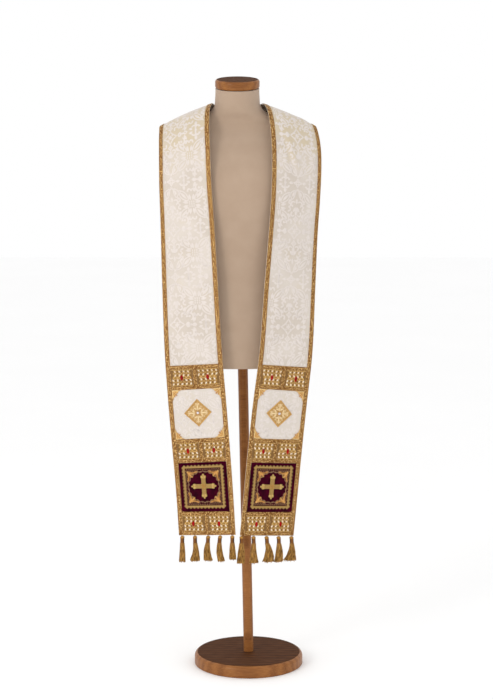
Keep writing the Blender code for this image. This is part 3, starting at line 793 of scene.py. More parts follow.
def lozenge(x, y, half_x, half_y, hollow, width):
    """A lozenge with hollow sides."""
    corners = [(half_x, 0), (0, half_y), (-half_x, 0), (0, -half_y), (half_x, 0)]
    path = []
    for (ax, ay), (bx, by) in zip(corners, corners[1:]):
        for t in np.linspace(0, 1, 8)[:-1]:
            pull = 1 - hollow * math.sin(math.pi * t)
            path.append((x + (ax + (bx - ax) * t) * pull, y + (ay + (by - ay) * t) * pull))
    path.append(path[0])
    return np.array(path), np.full(len(path), width)


def mirrored(*elements, x=True, y=True):
    out = list(elements)
    if x:
        out += [(path * [-1, 1], widths) for path, widths in out]
    if y:
        out += [(path * [1, -1], widths) for path, widths in out]
    return out


def ring_motif():
    """A small ring in a hollow lozenge, between wings, hooks and leaves."""
    centre = [lozenge(0, 0, 13, 12, 0.30, 3.0), ring(0, 0, 3.6, 2.6)]
    wings = mirrored(
        leaf(10.5, 32, 27, 14, 70, -3.5, solid=False),
        leaf(9.8, 31, 16, 5.4, 68, -2.5),
        hook(11.5, 57, 7.5, -150, 240, 4.2),
        hook(6.5, 17.5, 5.2, 215, -190, 3.0),
        leaf(7.0, 71, 15, 6.0, 58, 1.5),
        leaf(22, 47, 13, 6.0, 30, 1.0),
        leaf(24, 33, 11, 5.0, -50, 1.0),
    )
    stems = mirrored(leaf(0, 74, 19, 7.0, 90), leaf(0, 49, 15, 5.4, 90), x=False)
    bows = mirrored(
        hook(33, 7.0, 7.4, -60, 240, 4.2),
        hook(45, 8.5, 6.6, 240, -235, 3.8),
        leaf(39, 20, 14, 7.0, 90),
        leaf(54, 4.5, 11, 6.0, 20, 1.0),
    )
    links = mirrored(leaf(21, 0, 13, 6.5, 0), leaf(39, 0, 8, 6.0, 0), y=False)
    return centre + wings + stems + bows + links


def strap_motif():
    """A strapwork lozenge about a small cross, between bells and large scrolls."""
    centre = [lozenge(0, 0, 21, 21, 0.15, 3.0), bar(-6, 0, 6, 0), bar(0, -7, 0, 7)]
    insides = mirrored(leaf(7.5, 7.5, 9, 4.2, 45))
    uprights = mirrored(
        lozenge(0, 33, 8, 9, 0.28, 2.8), leaf(0, 33, 5, 3.4, 90), leaf(0, 50, 15, 7.5, 90), x=False
    )
    sides = mirrored(leaf(31, 0, 15, 13, 0), leaf(49, 0, 15, 9, 0), leaf(40, 0, 6, 9, 90), y=False)
    scrolls = mirrored(
        hook(36, 23, 11.0, -70, 270, 4.6),
        leaf(36, 23, 8, 5.5, 40),
        hook(18.5, 25, 7.4, 20, 215, 4.0),
        hook(11, 47, 6.6, -160, 235, 3.8),
        leaf(50, 13, 15, 6.6, 60, 1.5),
        leaf(24, 41, 16, 6.6, 35, 1.8),
        leaf(41, 41, 13, 6.0, -40, 1.2),
        leaf(52, 27, 12, 6.0, 100, 1.0),
    )
    return centre + insides + uprights + sides + scrolls


def knot_motif():
    """Interlaced straps that cross in a knot, with petals and small scrolls beside them."""
    knot = [bar(x - 1.6, y, x + 1.6, y) for x in (-6.2, 0, 6.2) for y in (-6.2, 0, 6.2)]
    straps = mirrored(leaf(24, 24, 40, 17, 45, 0, solid=False), leaf(24, 24, 27, 5.4, 45))
    petals = mirrored(
        leaf(18.5, 4.4, 16, 6.6, 12, 1.2),
        leaf(4.4, 18.5, 16, 6.6, 78, -1.2),
        hook(36, 6.6, 5.6, -110, 240, 3.6),
        hook(6.6, 36, 5.6, 200, -240, 3.6),
    )
    return knot + straps + petals


REPEAT_X, REPEAT_Y = 120, 130  # half the pattern's repeat each way, in millimetres
FIGURE_WEIGHT = 1.3  # how much bolder the woven figure is than its drawing
FIGURE_RISE = 0.00028
RING_R, RING_L = (0.040, 0.716), (0.0, 0.713)  # where a ring motif lies on each strip


def figure_places(ring_at):
    """Each motif with the places that it takes on a strip: a half-drop repeat."""
    ring_elements, strap_elements, knot_elements = ring_motif(), strap_motif(), knot_motif()
    for column in range(-1, 2):
        for row in range(-6, 8):
            x, y = ring_at[0] / MM + column * REPEAT_X, ring_at[1] / MM + row * REPEAT_Y
            yield (strap_elements if (column + row) % 2 else ring_elements), x, y
            yield knot_elements, x + REPEAT_X / 2, y + REPEAT_Y / 2


def runs(inside):
    """The stretches of a path that are inside, as (start, end)."""
    edges = np.flatnonzero(np.diff(np.concatenate([[0], inside.astype(int), [0]])))
    return zip(edges[::2], edges[1::2])


def make_figure(drape, ring_at, fields):
    """The figured weave, raised a little, over the bare fields of a strip."""
    piece, edge = Piece(), (FIELD - 0.0004) / MM
    for elements, x, y in figure_places(ring_at):
        for path, widths in elements:
            spot, widths = path + [x, y], widths * FIGURE_WEIGHT
            across = np.abs(spot[:, 0]) + widths / 2 < edge
            for low, high in fields:
                above = spot[:, 1] - widths / 2 > low / MM
                below = spot[:, 1] + widths / 2 < high / MM
                for start, end in runs(across & above & below):
                    if end - start >= 3:
                        thread, spread = spot[start:end] * MM, widths[start:end] * MM
                        piece.add(stroke(thread, spread, STRIP_THICK - 0.0001, FIGURE_RISE, "flat"), FIGURE)
    return drape.make(piece, "figured_weave", "brocade")


# Braids -------------------------------------------------------------------------------------

PLAIT = 0.0032  # length of one plait of a braid
BRAID_STEP = 0.0008


def braid(width, start, end, middle, along_v=True):
    """A plaited braid with three ribs, from start to end along the strip or across it."""
    at = np.linspace(start, end, max(6, int((end - start) / BRAID_STEP)))
    across = np.linspace(-1, 1, 13)
    ribs = 0.70 + 0.24 * np.cos(3 * np.pi * across)
    rib = np.clip(np.round(across * 1.5), -1, 1)
    slant = np.where(rib == 0, -1, 1)
    phase = 2 * np.pi * (at[:, None] / PLAIT + slant * (across - rib * 2 / 3) * 0.9)
    heights = ribs + 0.13 * np.cos(phase)
    heights[:, [0, -1]] = 0.35
    edge = 1 + 0.02 * np.cos(2 * np.pi * at / PLAIT)
    sideways = np.clip(across * width / 2 * edge[:, None], -width / 2, width / 2)
    top = np.stack([sideways, np.repeat(at[:, None], 13, 1), ON + heights * BRAID_THICK], axis=-1)
    rows = np.array([closed_under(row, ON) for row in top])
    chart = rows[:, :, :2].reshape(-1, 2) * [BRAID_WIDTH / width, 1]
    rows[:, :, 0] += middle
    if not along_v:
        rows = rows[:, :, [1, 0, 2]]
    return loft(rows), GALLOON, chart


def make_braids(drape):
    made = []
    for edge, low in (("inner", -STRIP_WIDTH / 2), ("outer", FIELD)):
        piece = Piece()
        piece.add(*braid(BRAID_WIDTH, 0, drape.length, low + BRAID_WIDTH / 2))
        made.append(drape.make(piece, f"{edge}_edge_braid", "galloon", [f"edge_braid_{edge}"]))
    piece, nodes = Piece(), []
    for kind, name, low, high in band_heights():
        if kind == "braid":
            piece.add(*braid(CROSS_BRAID, -FIELD + GAP, FIELD - GAP, (low + high) / 2, along_v=False))
            nodes.append(f"cross_braid_{name}")
        elif kind == "lattice":
            piece.add(*braid(DIVIDER_WIDTH, low + GAP / 2, high - GAP / 2, 0.0))
            nodes.append(f"divider_{name}")
    return [*made, drape.make(piece, "cross_braids", "galloon", nodes)]


# Lattice bands ------------------------------------------------------------------------------

PEARL_PITCH = 0.0122

# Rows of pearls, from the top: how far down, whether it is one of the odd rows, and a pearl's half
# width, half height and rise. The red stone lies over the middle of STONE_ROW, and no pearl is there.
PearlRow = namedtuple("PearlRow", "down odd half_u half_v rise")

STONE_ROW = PearlRow(0.0292, False, 0.0018, 0.0040, 0.0024)
PEARL_ROWS = (
    PearlRow(0.0056, True, 0.0016, 0.0033, 0.0020),
    PearlRow(0.0158, True, 0.0018, 0.0040, 0.0024),
    STONE_ROW,
    PearlRow(0.0394, False, 0.0019, 0.0036, 0.0024),
)
STONE_U, STONE_DOWN = 0.0006, 0.0228  # its place, off the middle and down from the top


def lens(u, v, half_u, half_v, count=14):
    """The path of a pointed oval."""
    turns = circle(count)
    pinch = 1 - 0.22 * np.abs(np.sin(turns)) ** 6
    return ellipse(u, v, half_u * pinch, half_v, turns)


def make_lattice(drape, rng):
    """The lattice rectangles: ground, gold cords, pearls and a red stone in each."""
    base, beads, nodes = Piece(), Piece(), []
    near, far = DIVIDER_WIDTH / 2 + GAP, FIELD - GAP
    for kind, name, low, high in band_heights():
        if kind != "lattice":
            continue
        for end, u0, u1 in (("inner", -far, -near), ("outer", near, far)):
            nodes.append(f"lattice_{name}_{end}")
            base.add(panel(u0, u1, low + GAP / 2, high - GAP / 2, ON, ON + 0.0007, 9, 8), GROUND)
            lattice_rectangle(base, beads, (u0 + u1) / 2, high, (u1 - u0) / 2, end == "outer", rng)
    return drape.make(base, "lattice_bands", "lattice", nodes), drape.make(beads, "pearls_and_stones")


def trellis(base, middle, half, v, rise_v, shifted, w0):
    """Two zigzag cords that cross between the pearls of a row, with a bead on each crossing."""
    start = -3 * PEARL_PITCH if shifted else -2.5 * PEARL_PITCH
    nodes = start + np.arange(13) * PEARL_PITCH / 2
    nodes = nodes[np.abs(nodes) < half - 0.0006]
    crossing = np.round((nodes - start) / (PEARL_PITCH / 2)) % 2 == 0
    for flip in (-1, 1):
        path = np.column_stack([middle + nodes, v + np.where(crossing, 0.0, flip * rise_v)])
        base.add(stroke(path, 0.0019, w0, 0.0013), CORD)
    for node in nodes[crossing]:
        base.add(dome(middle + node, v, 0.0015, 0.0015, w0, 0.0019, 0, 8, 3), CORD)


def lattice_rectangle(base, beads, middle, top, half, fives_below, rng):
    """The cords, pearls and stone of one rectangle. Rows have five pearls or four, by turns."""
    w0 = ON + 0.0005
    for number, row in enumerate(PEARL_ROWS):
        four = row.odd == fives_below
        places = np.arange(-1.5, 2) if four else np.arange(-2, 3)
        v = top - row.down
        trellis(base, middle, half, v, 0.0052, not four, w0)
        for place in places * PEARL_PITCH:
            u = middle + place
            slant = (0.5 if number % 2 else -0.6) + rng.normal(0, 0.15)
            jitter = rng.normal(0, 0.00025, 2)
            base.add(stroke(lens(u, v, 0.0030, row.half_v + 0.0012), 0.0010, w0, 0.0010, "loop"), CORD)
            if row is not STONE_ROW or abs(place) > 0.001:
                pearl_at = (u + jitter[0], v + jitter[1], row.half_u, row.half_v)
                beads.add(dome(*pearl_at, w0 + 0.0002, row.rise, slant), PEARL)
    trellis(base, middle, half, top - LATTICE_HEIGHT / 2, 0.0034, fives_below, w0)
    ends = middle - half + 0.0008, middle + half - 0.0008
    for v in (top - 0.0011, top - LATTICE_HEIGHT + 0.0011):
        base.add(stroke(np.linspace((ends[0], v), (ends[1], v), 20), 0.0012, w0, 0.0009), CORD)
    stone_at = (middle + STONE_U, top - STONE_DOWN)
    beads.add(navette(*stone_at, 0.0042, 0.0080, w0 + 0.0005, 0.0040), RUBY)
    base.add(stroke(lens(*stone_at, 0.0048, 0.0086, 16), 0.0008, w0, 0.0012, "loop"), CORD)


def navette(u, v, half_u, half_v, w0, rise):
    """A boat-shaped stone, cut in facets, with its table set off centre."""
    turns, rows = np.radians((90, 128, 180, 232, 270, 308, 0, 52)), []
    for scale, up, shift in ((1, 0, 0), (1, 0.25, 0), (0.55, 0.85, 0), (0.16, 1, 0.0004)):
        outline = ellipse(u, v + shift, half_u * scale, half_v * scale, turns)
        rows.append(at_height(outline, w0 + rise * up))
    return loft(rows)


# Velvet squares -----------------------------------------------------------------------------
# What is sewn on a velvet square is made about (0, 0), turned by quarters and moved to its middle.

SCALLOP_DIP = 0.0014  # how far the notches between the scallops reach into the frame
SCALLOP_STEPS = 8
QUARTER = math.pi / 2


def frame_side(quarter):
    """A frame side's half length, distance from the centre and scallops, without the scallops."""
    if quarter % 2:
        return FRAME_HEIGHT / 2, FRAME_WIDTH / 2, SCALLOPS_UP
    return FRAME_WIDTH / 2, FRAME_HEIGHT / 2, SCALLOPS_ACROSS


def scalloped_frame(middle, w0):
    """A padded satin-stitch frame with a straight inner edge and a scalloped outer one."""
    share = np.array([0, 0.06, 0.3, 0.55, 0.8, 0.96, 1.0])
    padding = np.array([0.25, 0.7, 0.95, 1.0, 0.95, 0.7, 0.25])
    rings = []
    for quarter in range(4):
        half, depth, scallops = frame_side(quarter)
        for step in range(scallops * SCALLOP_STEPS):
            along = -1 + 2 * step / (scallops * SCALLOP_STEPS)
            crest = 0.5 - 0.5 * math.cos(2 * math.pi * step / SCALLOP_STEPS)
            scallop = SCALLOP_RISE * crest - SCALLOP_DIP * (1 - crest)
            stitch = 1.10 if step % 2 else 0.90
            x = along * (half - FRAME_BAND * (1 - share))
            y = depth - FRAME_BAND * (1 - share) + scallop * share
            flat = spun(np.column_stack([x, y]), -quarter * QUARTER) + [0, middle]
            rings.append(closed_under(np.column_stack([flat, w0 + 0.0017 * padding * stitch]), w0))
    return loft(rings, looped=True)


def ribbed_arm(length, half, w0, rise, ribs):
    """An arm of the cross from the centre upwards, with ribs along it."""
    rows, across = [], np.linspace(-1, 1, 4 * ribs + 1)
    heights = 0.55 + 0.45 * np.abs(np.cos(np.pi * ribs * (across + 1) / 2 + np.pi / 2))
    heights[[0, -1]] = 0.15
    for y in np.linspace(0, length, 14):
        spread = half * (1 - 0.05 * math.sin(math.pi * y / length))
        stitch = 1 + 0.04 * math.sin(y * 4000)
        top = np.column_stack([across * spread, np.full(len(across), y), w0 + rise * heights * stitch])
        rows.append(closed_under(top, w0))
    return loft(rows)


def turned(shape, quarter, middle):
    """A shape made about the centre, turned by quarters and moved to v = middle."""
    points, quads, caps = shape
    flat = spun(points[:, :2], quarter * QUARTER) + [0, middle]
    return np.column_stack([flat, points[:, 2]]), quads, caps


def make_cross(piece, middle, w0):
    """An equal-armed cross: ribbed arms, each ending in two lobes and a point, and a flower."""
    reach = CROSS_SPAN / 2
    parts = [(ribbed_arm(reach - 0.0085, CROSS_ARM / 2, w0, 0.0021, 3), EMBROIDERY)]
    for side in (-1, 1):
        lobe_at = (side * 0.0037, reach - 0.0090, 0.0040, 0.0046)
        parts.append((dome(*lobe_at, w0, 0.0033, -side * 0.3, 14, 5, 7, 0.05), LOBE))
    parts += [
        (dome(0, reach - 0.0030, 0.0026, 0.0036, w0, 0.0026, 0, 10, 4), LOBE),
        (dome(0.0031, 0.0031, 0.0045, 0.0022, w0 + 0.0008, 0.0026, math.pi / 4, 12, 4), HEART),
        (dome(0, 0.0052, 0.0011, 0.0032, w0 + 0.0010, 0.0021, 0, 8, 3), HEART),
    ]
    for quarter in range(4):
        for shape, finish in parts:
            piece.add(turned(shape, quarter, middle), finish)
    piece.add(dome(0, middle, 0.0019, 0.0019, w0 + 0.0014, 0.0028, 0, 10, 3), HEART)


def fleuron_parts(w0):
    """A corner ornament: a bright bar to the centre, and an arm along each side with a knob. The bar, a rib
    on each arm and two beads are brighter gold, partly a painted highlight; the web between the arms is
    dark brown, painted shade.
    """
    web = np.array([(42, 42), (25, 42), (29, 36.5), (29.5, 29.5), (36.5, 29), (42, 25)]) * MM
    t = np.linspace(0, 1, 9)
    stem = np.column_stack([41.5 - 10 * t, 40.5 - 11 * t]) * MM
    parts = [
        # the web's dark brown is painted shade between the arms
        (mound(web, web.mean(0), w0, 0.0012, ((1, 0), (1, 0.7), (0.9, 1))), WEB_AND_PAINTED_SHADE),
        (stroke(stem, 0.0034, w0 + 0.0008, 0.0022), BRIGHT_AND_PAINTED_HIGHLIGHT),
    ]
    bow = np.column_stack([41 - 22 * t, 42.0 - 2.2 * np.sin(np.pi * t)]) * MM
    rib = np.column_stack([39 - 12 * t, 39.0 - 4.0 * t]) * MM
    knob = np.array([19.0, 42.6]) * MM
    for order in (slice(None), slice(None, None, -1)):
        parts += [
            (stroke(bow[:, order], (5.2 - 2.4 * t) * MM, w0 + 0.0004, 0.0018), ORANGE),
            # a brighter rib along each arm: a painted highlight
            (stroke(rib[:, order], 0.0019, w0 + 0.0008, 0.0015), BRIGHT_AND_PAINTED_HIGHLIGHT),
            (dome(*knob[order], 0.0029, 0.0026, w0, 0.0026, 0, 10, 3), ORANGE),
        ]
    for x, y in ((0.031, 0.029), (0.043, 0.042)):
        parts.append((dome(x, y, 0.0026, 0.0023, w0, 0.0030, math.pi / 4, 10, 3), BRIGHT_AND_PAINTED_HIGHLIGHT))
    return parts


NET_PITCH, NET_ROW = 0.0064, 0.0041
OPENING, OPENING_SCALLOPS, OPENING_DIP = 0.0455, 20, 0.0040  # the openwork's round free edge


def net_knots():
    """The openwork's knots about the frame's centre, by (row, half places across)."""
    half, depth = FRAME_WIDTH / 2 - FRAME_BAND - 0.001, FRAME_HEIGHT / 2 - FRAME_BAND - 0.001
    for row in range(-int(depth / NET_ROW), int(depth / NET_ROW) + 1):
        for place in range(-24, 25):
            u, v = place * NET_PITCH / 2, row * NET_ROW
            if (row + place) % 2 == 0 and abs(u) < half and math.hypot(u, v) > OPENING + 0.001:
                yield row, place


def make_net(piece, middle, w0):
    """Openwork between the frame and a round opening: staggered knots joined by threads."""
    knots = set(net_knots())
    for row, place in sorted(knots):
        u, v = place * NET_PITCH / 2, middle + row * NET_ROW
        piece.add(dome(u, v, 0.0017, 0.0013, w0, 0.0013, 0, 6, 2), NET)
        for step in (-1, 1):
            if (row + 1, place + step) in knots:
                thread = [(u, v), (u + step * NET_PITCH / 2, v + NET_ROW)]
                piece.add(stroke(thread, 0.0005, w0, 0.0005), WEB_AND_PAINTED_SHADE)
    at = np.linspace(0, 1, 9)
    for scallop in range(OPENING_SCALLOPS):
        turns = 2 * np.pi / OPENING_SCALLOPS * (scallop + at)
        reach = OPENING - OPENING_DIP * np.sin(np.pi * at)
        piece.add(stroke(ellipse(0, middle, reach, reach, turns), 0.0012, w0, 0.0011), NET)
        [knot] = ellipse(0, middle, OPENING - 0.0012, OPENING - 0.0012, turns[4:5])
        piece.add(dome(*knot, 0.0014, 0.0012, w0, 0.0012, 0, 6, 2), NET)


def make_velvet(drape):
    low, high = band("velvet")
    middle, field = (low + high) / 2, FIELD - GAP
    cloth, work, sewn = Piece(), Piece(), ON + VELVET_THICK + 0.0001
    cloth.add(panel(-field, field, low + GAP / 2, high - GAP / 2, ON, ON + VELVET_THICK, 35, 35), VELVET)
    square = drape.make(cloth, "velvet_square", "velvet", ["velvet"])
    work.add(scalloped_frame(middle + FRAME_RISE, sewn), EMBROIDERY)
    make_cross(work, middle + CROSS_RISE, sewn)
    make_net(work, middle + FRAME_RISE, sewn)
    for quarter in range(4):
        for shape, finish in fleuron_parts(sewn):
            work.add(turned(shape, quarter, middle + FRAME_RISE), finish)
    return square, drape.make(work, "velvet_embroidery", "embroidery", ["frame", "cross"])


# Plain squares ------------------------------------------------------------------------------


def diamond_corner():
    """The filigree from the diamond's centre to its upper corner, in millimetres: (path, widths)."""
    t = np.linspace(0, 1, 8)
    wave, along = np.sin(np.pi * t), np.linspace(0, 1, 13)
    parts = [(np.column_stack([0 * t, 6 + 22 * t]), 1.0 + 1.6 * wave)]
    for side in (-1, 1):
        for x, y, radius, start, turns in (
            (4.6, 12.5, 3.4, 200, 1.1),
            (4.0, 21.5, 2.9, 210, 1.0),
            (9.8, 17.0, 2.8, 160, 1.1),
        ):
            reach = radius * (1 - 0.75 * along)
            spiral = ellipse(x, y, reach, reach, np.radians(start) + turns * 2 * np.pi * along)
            parts.append((spiral * [side, 1], 0.7 + 0.5 * along))
        lower = np.column_stack([side * (2 + 9 * t), 8 + 3.5 * t + 2 * wave])
        upper = np.column_stack([side * (1.5 + 4.5 * t), 25 + 2.5 * t - 1.5 * wave])
        parts += [(lower, 0.7 + 1.8 * wave), (upper, 0.6 + 1.4 * wave)]
    return parts


def make_diamond(piece, middle, w0):
    """The diamond applique: ground, corded border, filigree and two rings for a stone."""
    reach = DIAMOND_SIDE / math.sqrt(2)
    corners = np.array([(reach, 0), (0, reach), (-reach, 0), (0, -reach)])
    for start, end in zip(corners, np.roll(corners, -1, 0)):
        for inset, width, rise in ((0.0012, 0.0025, 0.0016), (0.0036, 0.0011, 0.0011)):
            path = np.linspace(start, end, 22) * (1 - inset / reach * 1.41) + [0, middle]
            piece.add(stroke(path, width, w0 + 0.0005, rise), RIM)
    rows = []
    for y in np.linspace(-1, 1, 15):
        half, v = max(0.0004, reach * (1 - abs(y))), middle + y * (reach - 0.0003)
        top = at_height(np.linspace((-half, v), (half, v), 9), w0 + 0.0007)
        rows.append(np.vstack([top, top[::-1] * [1, 1, 0] + [0, 0, w0]]))
    piece.add(loft(rows), FILIGREE_GROUND)
    for quarter in range(4):
        for path, widths in diamond_corner():
            spot = spun(path * MM, quarter * QUARTER) + [0, middle]
            piece.add(stroke(spot, 1.35 * widths * MM, w0 + 0.0006, 0.0012), PALE)
    for radius, width in ((0.0050, 0.0012), (0.0072, 0.0008)):
        path = ellipse(0, middle, radius, radius, circle(18))
        piece.add(stroke(path, width, w0 + 0.0006, 0.0013, "loop"), RIM)


def corner_outline():
    """The corner applique about its corner at (0, 0), with a hollow edge of three scallops."""
    marks = np.array([(25.0, 0), (16.0, 7.5), (7.5, 17.5), (0, 29.0)])
    points = [(0, 0), marks[0]]
    for start, end in zip(marks, marks[1:]):
        run = end - start
        inwards = np.array([-run[1], run[0]]) / math.hypot(*run)
        for t in np.linspace(0, 1, 7)[1:]:
            points.append(start + run * t + inwards * 2.6 * math.sin(math.pi * t))
    return np.array(points)


def make_corner(piece, u, v, sign_u, sign_v, w0):
    """One corner applique of a plain square, with its stitched bars."""

    def at(*points):
        return np.column_stack(points) * MM * [-sign_u, -sign_v] + [u, v]

    outline, t = corner_outline(), np.linspace(0, 1, 9)
    steps = ((1, 0), (1, 0.6), (0.9, 1.0), (0.3, 1.05))
    piece.add(mound(at(*outline.T), at(6.5, 7.5), w0, 0.0009, steps), CORNER)
    piece.add(stroke(at(2 + 11 * t, 3 + 11.5 * t), (1.4 + 2.6 * t) * MM, w0 + 0.0006, 0.0016), ORANGE)
    bow = 2 + 0.8 * np.sin(np.pi * t)
    for path in (at(4 + 17.5 * t, bow), at(bow, 4 + 22 * t)):
        piece.add(stroke(path, (1.3 - 0.5 * t) * MM, w0 + 0.0006, 0.0011), RIM)
    piece.add(stroke(at(*outline[1:].T * 0.96), 0.0010, w0 + 0.0005, 0.0011), RIM)
    for x, y, turn in ((9, 4.6, 10), (4.6, 10.5, 78), (13, 6.5, 25), (6.2, 15.5, 65)):
        angle = math.radians(turn) * sign_u * sign_v
        piece.add(dome(*at(x, y)[0], 0.0034, 0.0016, w0 + 0.0005, 0.0015, angle, 8, 3), ORANGE)


def make_plain_square(drape):
    low, high = band("plain")
    middle, piece, crystal = (low + high) / 2 + DIAMOND_RISE, Piece(), Piece()
    make_diamond(piece, middle, ON)
    for sign_u in (-1, 1):
        for sign_v, v in ((-1, low + GAP), (1, high - GAP)):
            make_corner(piece, sign_u * (FIELD - GAP), v, sign_u, sign_v, ON)
    gold = drape.make(piece, "diamond_and_corners", "embroidery", ["diamond"])
    crystal.add(dome(0, middle, 0.0040, 0.0040, ON + 0.0008, 0.0036, 0, 8, 3), CRYSTAL)
    return gold, drape.make(crystal, "clear_stone", angle=10)


# Tassels ------------------------------------------------------------------------------------

SKIRT_THREADS = 72
SKIRT_TOP = 0.0215


def lathe(profile, around, ribs=0, depth=0.0):
    """A turned shape from (radius, z) points, with ribs along it."""
    angles, rows = circle(around), []
    for radius, z in profile:
        reach = radius * (1 + depth * np.cos(ribs * angles))
        rows.append(at_height(ellipse(0, 0, reach, reach, angles), z))
    return loft(rows)


def round_cord(path, radius, around=6, looped=False):
    """A tube along points in space."""
    along = np.roll(path, -1, 0) - np.roll(path, 1, 0) if looped else np.gradient(path, axis=0)
    along = unit(along + 1e-12)
    aside = unit(np.cross(along, [0.31, 0.27, 0.91]))
    up = np.cross(along, aside)
    rows = [path + radius * (aside * math.cos(t) + up * math.sin(t)) for t in circle(around)]
    return loft(np.stack(rows, axis=1), looped)


def round_chart(shape, radius):
    x, y, z = shape[0].T
    return np.column_stack([np.arctan2(y, x) * radius, z])


class Skirt:
    """The threads' outline: how far they are off the plumb line, and how far they spread."""

    def __init__(self, hang):
        depths = (SKIRT_TOP, 0.6 * hang.length, hang.length)
        self.length = hang.length
        self.off = np.polyfit(depths, (hang.neck, hang.middle, hang.end), 2)
        self.half = np.polyfit(depths, (TASSEL_NECK, hang.middle_half, hang.end_half), 2)

    def place(self, shape, share):
        """A shape of unit radius around the z axis, spread and moved as the threads are."""
        points, quads, caps = shape
        x, y, z = points.T
        reach = np.polyval(self.half, -z) * share
        return np.column_stack([np.polyval(self.off, -z) + x * reach, y * reach, z]), quads, caps


def make_tassel(drape, name, top, hang, rng):
    """A tassel: sewing loop, head, bound neck and a skirt of threads."""
    piece, skirt = Piece(), Skirt(hang)
    make_head(piece, hang.neck)
    heights = -np.linspace(SKIRT_TOP - 0.002, hang.length - 0.004, 9)
    core = lathe([(1.0, z) for z in heights], 56, 7, 0.05)
    piece.add(skirt.place(core, 0.9), THREAD, round_chart(core, 0.008))
    for i in range(SKIRT_THREADS):
        piece.add(*skirt_thread(skirt, i, rng))
    turn = Euler((math.radians(-hang.out), 0, 0)).to_matrix()
    hung = np.array(turn @ Matrix.Diagonal((drape.side, TASSEL_FLATNESS, 1)))
    return drape.make(piece, name, "tassel_thread", [name], 60, lambda p: p @ hung.T + top)


def make_head(piece, neck):
    """The sewing loop, the head, and the binding around the neck, which bends away."""
    turns = circle(16)
    c, s = np.cos(turns), np.sin(turns)
    sewing = np.column_stack([0.0021 * c, 0 * turns, 0.0004 + 0.0021 * s])
    piece.add(round_cord(sewing, 0.0007, 6, looped=True), THREAD_HEAD)
    head = [(0.0012, -0.0002)]
    for angle in np.linspace(0.35, 2.1, 8):
        head.append((TASSEL_HEAD * math.sin(angle), -0.0008 - 0.0042 * (1 - math.cos(angle))))
    shape = lathe(head, 40, 20, 0.05)
    piece.add(shape, THREAD_HEAD, round_chart(shape, 0.005))
    for step in range(8):
        z = -0.0080 - 0.0019 * step
        off = neck * (0.4 + 0.6 * step / 7)
        reach = TASSEL_NECK - 0.0009 + 0.0002 * math.sin(step * 1.9)
        wrap = np.column_stack([off + reach * c, reach * s, z + 0.0003 * c])
        piece.add(round_cord(wrap, 0.0011, 7, looped=True), THREAD_BOUND)


def skirt_thread(skirt, i, rng):
    """One thread of a skirt, as what Piece.add takes."""
    angle = 2 * np.pi * (i + rng.uniform(-0.3, 0.3)) / SKIRT_THREADS
    tall = (skirt.length - SKIRT_TOP) * rng.uniform(0.90, 1.0)
    share, drift = rng.uniform(0.92, 1.04), rng.normal(0, 0.28)
    curl, waves = rng.normal(0, 0.06), rng.uniform(2.0, 3.5)
    t = np.linspace(0, 1, 11)
    turn = angle + drift * t**2
    clumped = share * (1 + 0.06 * t * np.cos(7 * turn)) + curl * np.sin(waves * np.pi * t) * t
    reach = np.polyval(skirt.half, SKIRT_TOP + tall * t) * clumped
    off = np.polyval(skirt.off, SKIRT_TOP + tall * t)
    z = -SKIRT_TOP + 0.0012 - tall * t
    path = np.column_stack([off + reach * np.cos(turn), reach * np.sin(turn), z])
    chart = np.column_stack([np.tile(np.arange(5) * 0.0005, len(t)) + i * 0.0011, np.repeat(z, 5)])
    return round_cord(path, 0.00058, 5), THREAD, chart


def make_tassels(drape, hangs, rng):
    made = []
    for number, hang in enumerate(hangs, 1):
        sewn_at = np.array([[hang.u, 0.0, STRIP_THICK / 2]])
        top = drape.place(sewn_at)[0] - [0, 0, 0.0012]
        made.append(make_tassel(drape, f"tassel_{number}", top, hang, rng))
    return made


# The dress form -----------------------------------------------------------------------------


def as_made(points):
    return points


def make_bust():
    rows, angles = [], circle(160)
    c, s = np.cos(angles), np.sin(angles)
    for z, half, front, back, power in smooth(BUST, 110, ("z", "half")):
        depth = np.where(s > 0, back, front)
        x = half * np.copysign(np.abs(c) ** (2 / power), c)
        y = depth * np.copysign(np.abs(s) ** (2 / power), s)
        rows.append(np.column_stack([x + PLUMB_X, y, np.full(len(x), z)]))
    for row, share in ((rows[-1], 1.0), (rows[-2], 0.7)):
        row[:, 2] += row[:, 1] * math.tan(CAP_TILT) * share
    piece = Piece()
    piece.add(loft(rows), JERSEY)
    return piece.make("bust_cover", as_made, "jersey", ["bust"])


def disc_rows(radius, height, top_round, bottom_round, around=128):
    """A turned disc with rounded edges, as rings from its underside to its top."""
    profile = [(radius * 0.3, 0), (radius - bottom_round, 0)]
    for turn in np.radians(np.linspace(-60, 0, 4)):
        inset, up = bottom_round * (1 - math.cos(turn)), bottom_round * (1 + math.sin(turn))
        profile.append((radius - inset, up))
    for turn in np.radians(np.linspace(0, 90, 10)):
        inset, down = top_round * (1 - math.cos(turn)), top_round * (1 - math.sin(turn))
        profile.append((radius - inset, height - down))
    profile += [((radius - top_round) * share, height) for share in (0.97, 0.6, 0.25)]
    return lathe(profile, around)


def turned_wood(name, node, shape, place):
    """A turned wooden piece, darker where its top face shows: painted shade on the top."""
    piece = Piece()
    piece.add(shape, WOOD_SIDE)
    made = piece.make(name, place, "wood", [node])
    made.data.materials.append(PAINTED_SHADE_WOOD_TOP)
    points, quads, caps = shape
    # the top faces, which get the painted shade
    painted_shade_top = points[:, 2] > max(points[:, 2]) - 0.0009
    kinds = [int(all(painted_shade_top[face])) for face in quads.tolist() + caps]
    made.data.polygons.foreach_set("material_index", kinds)


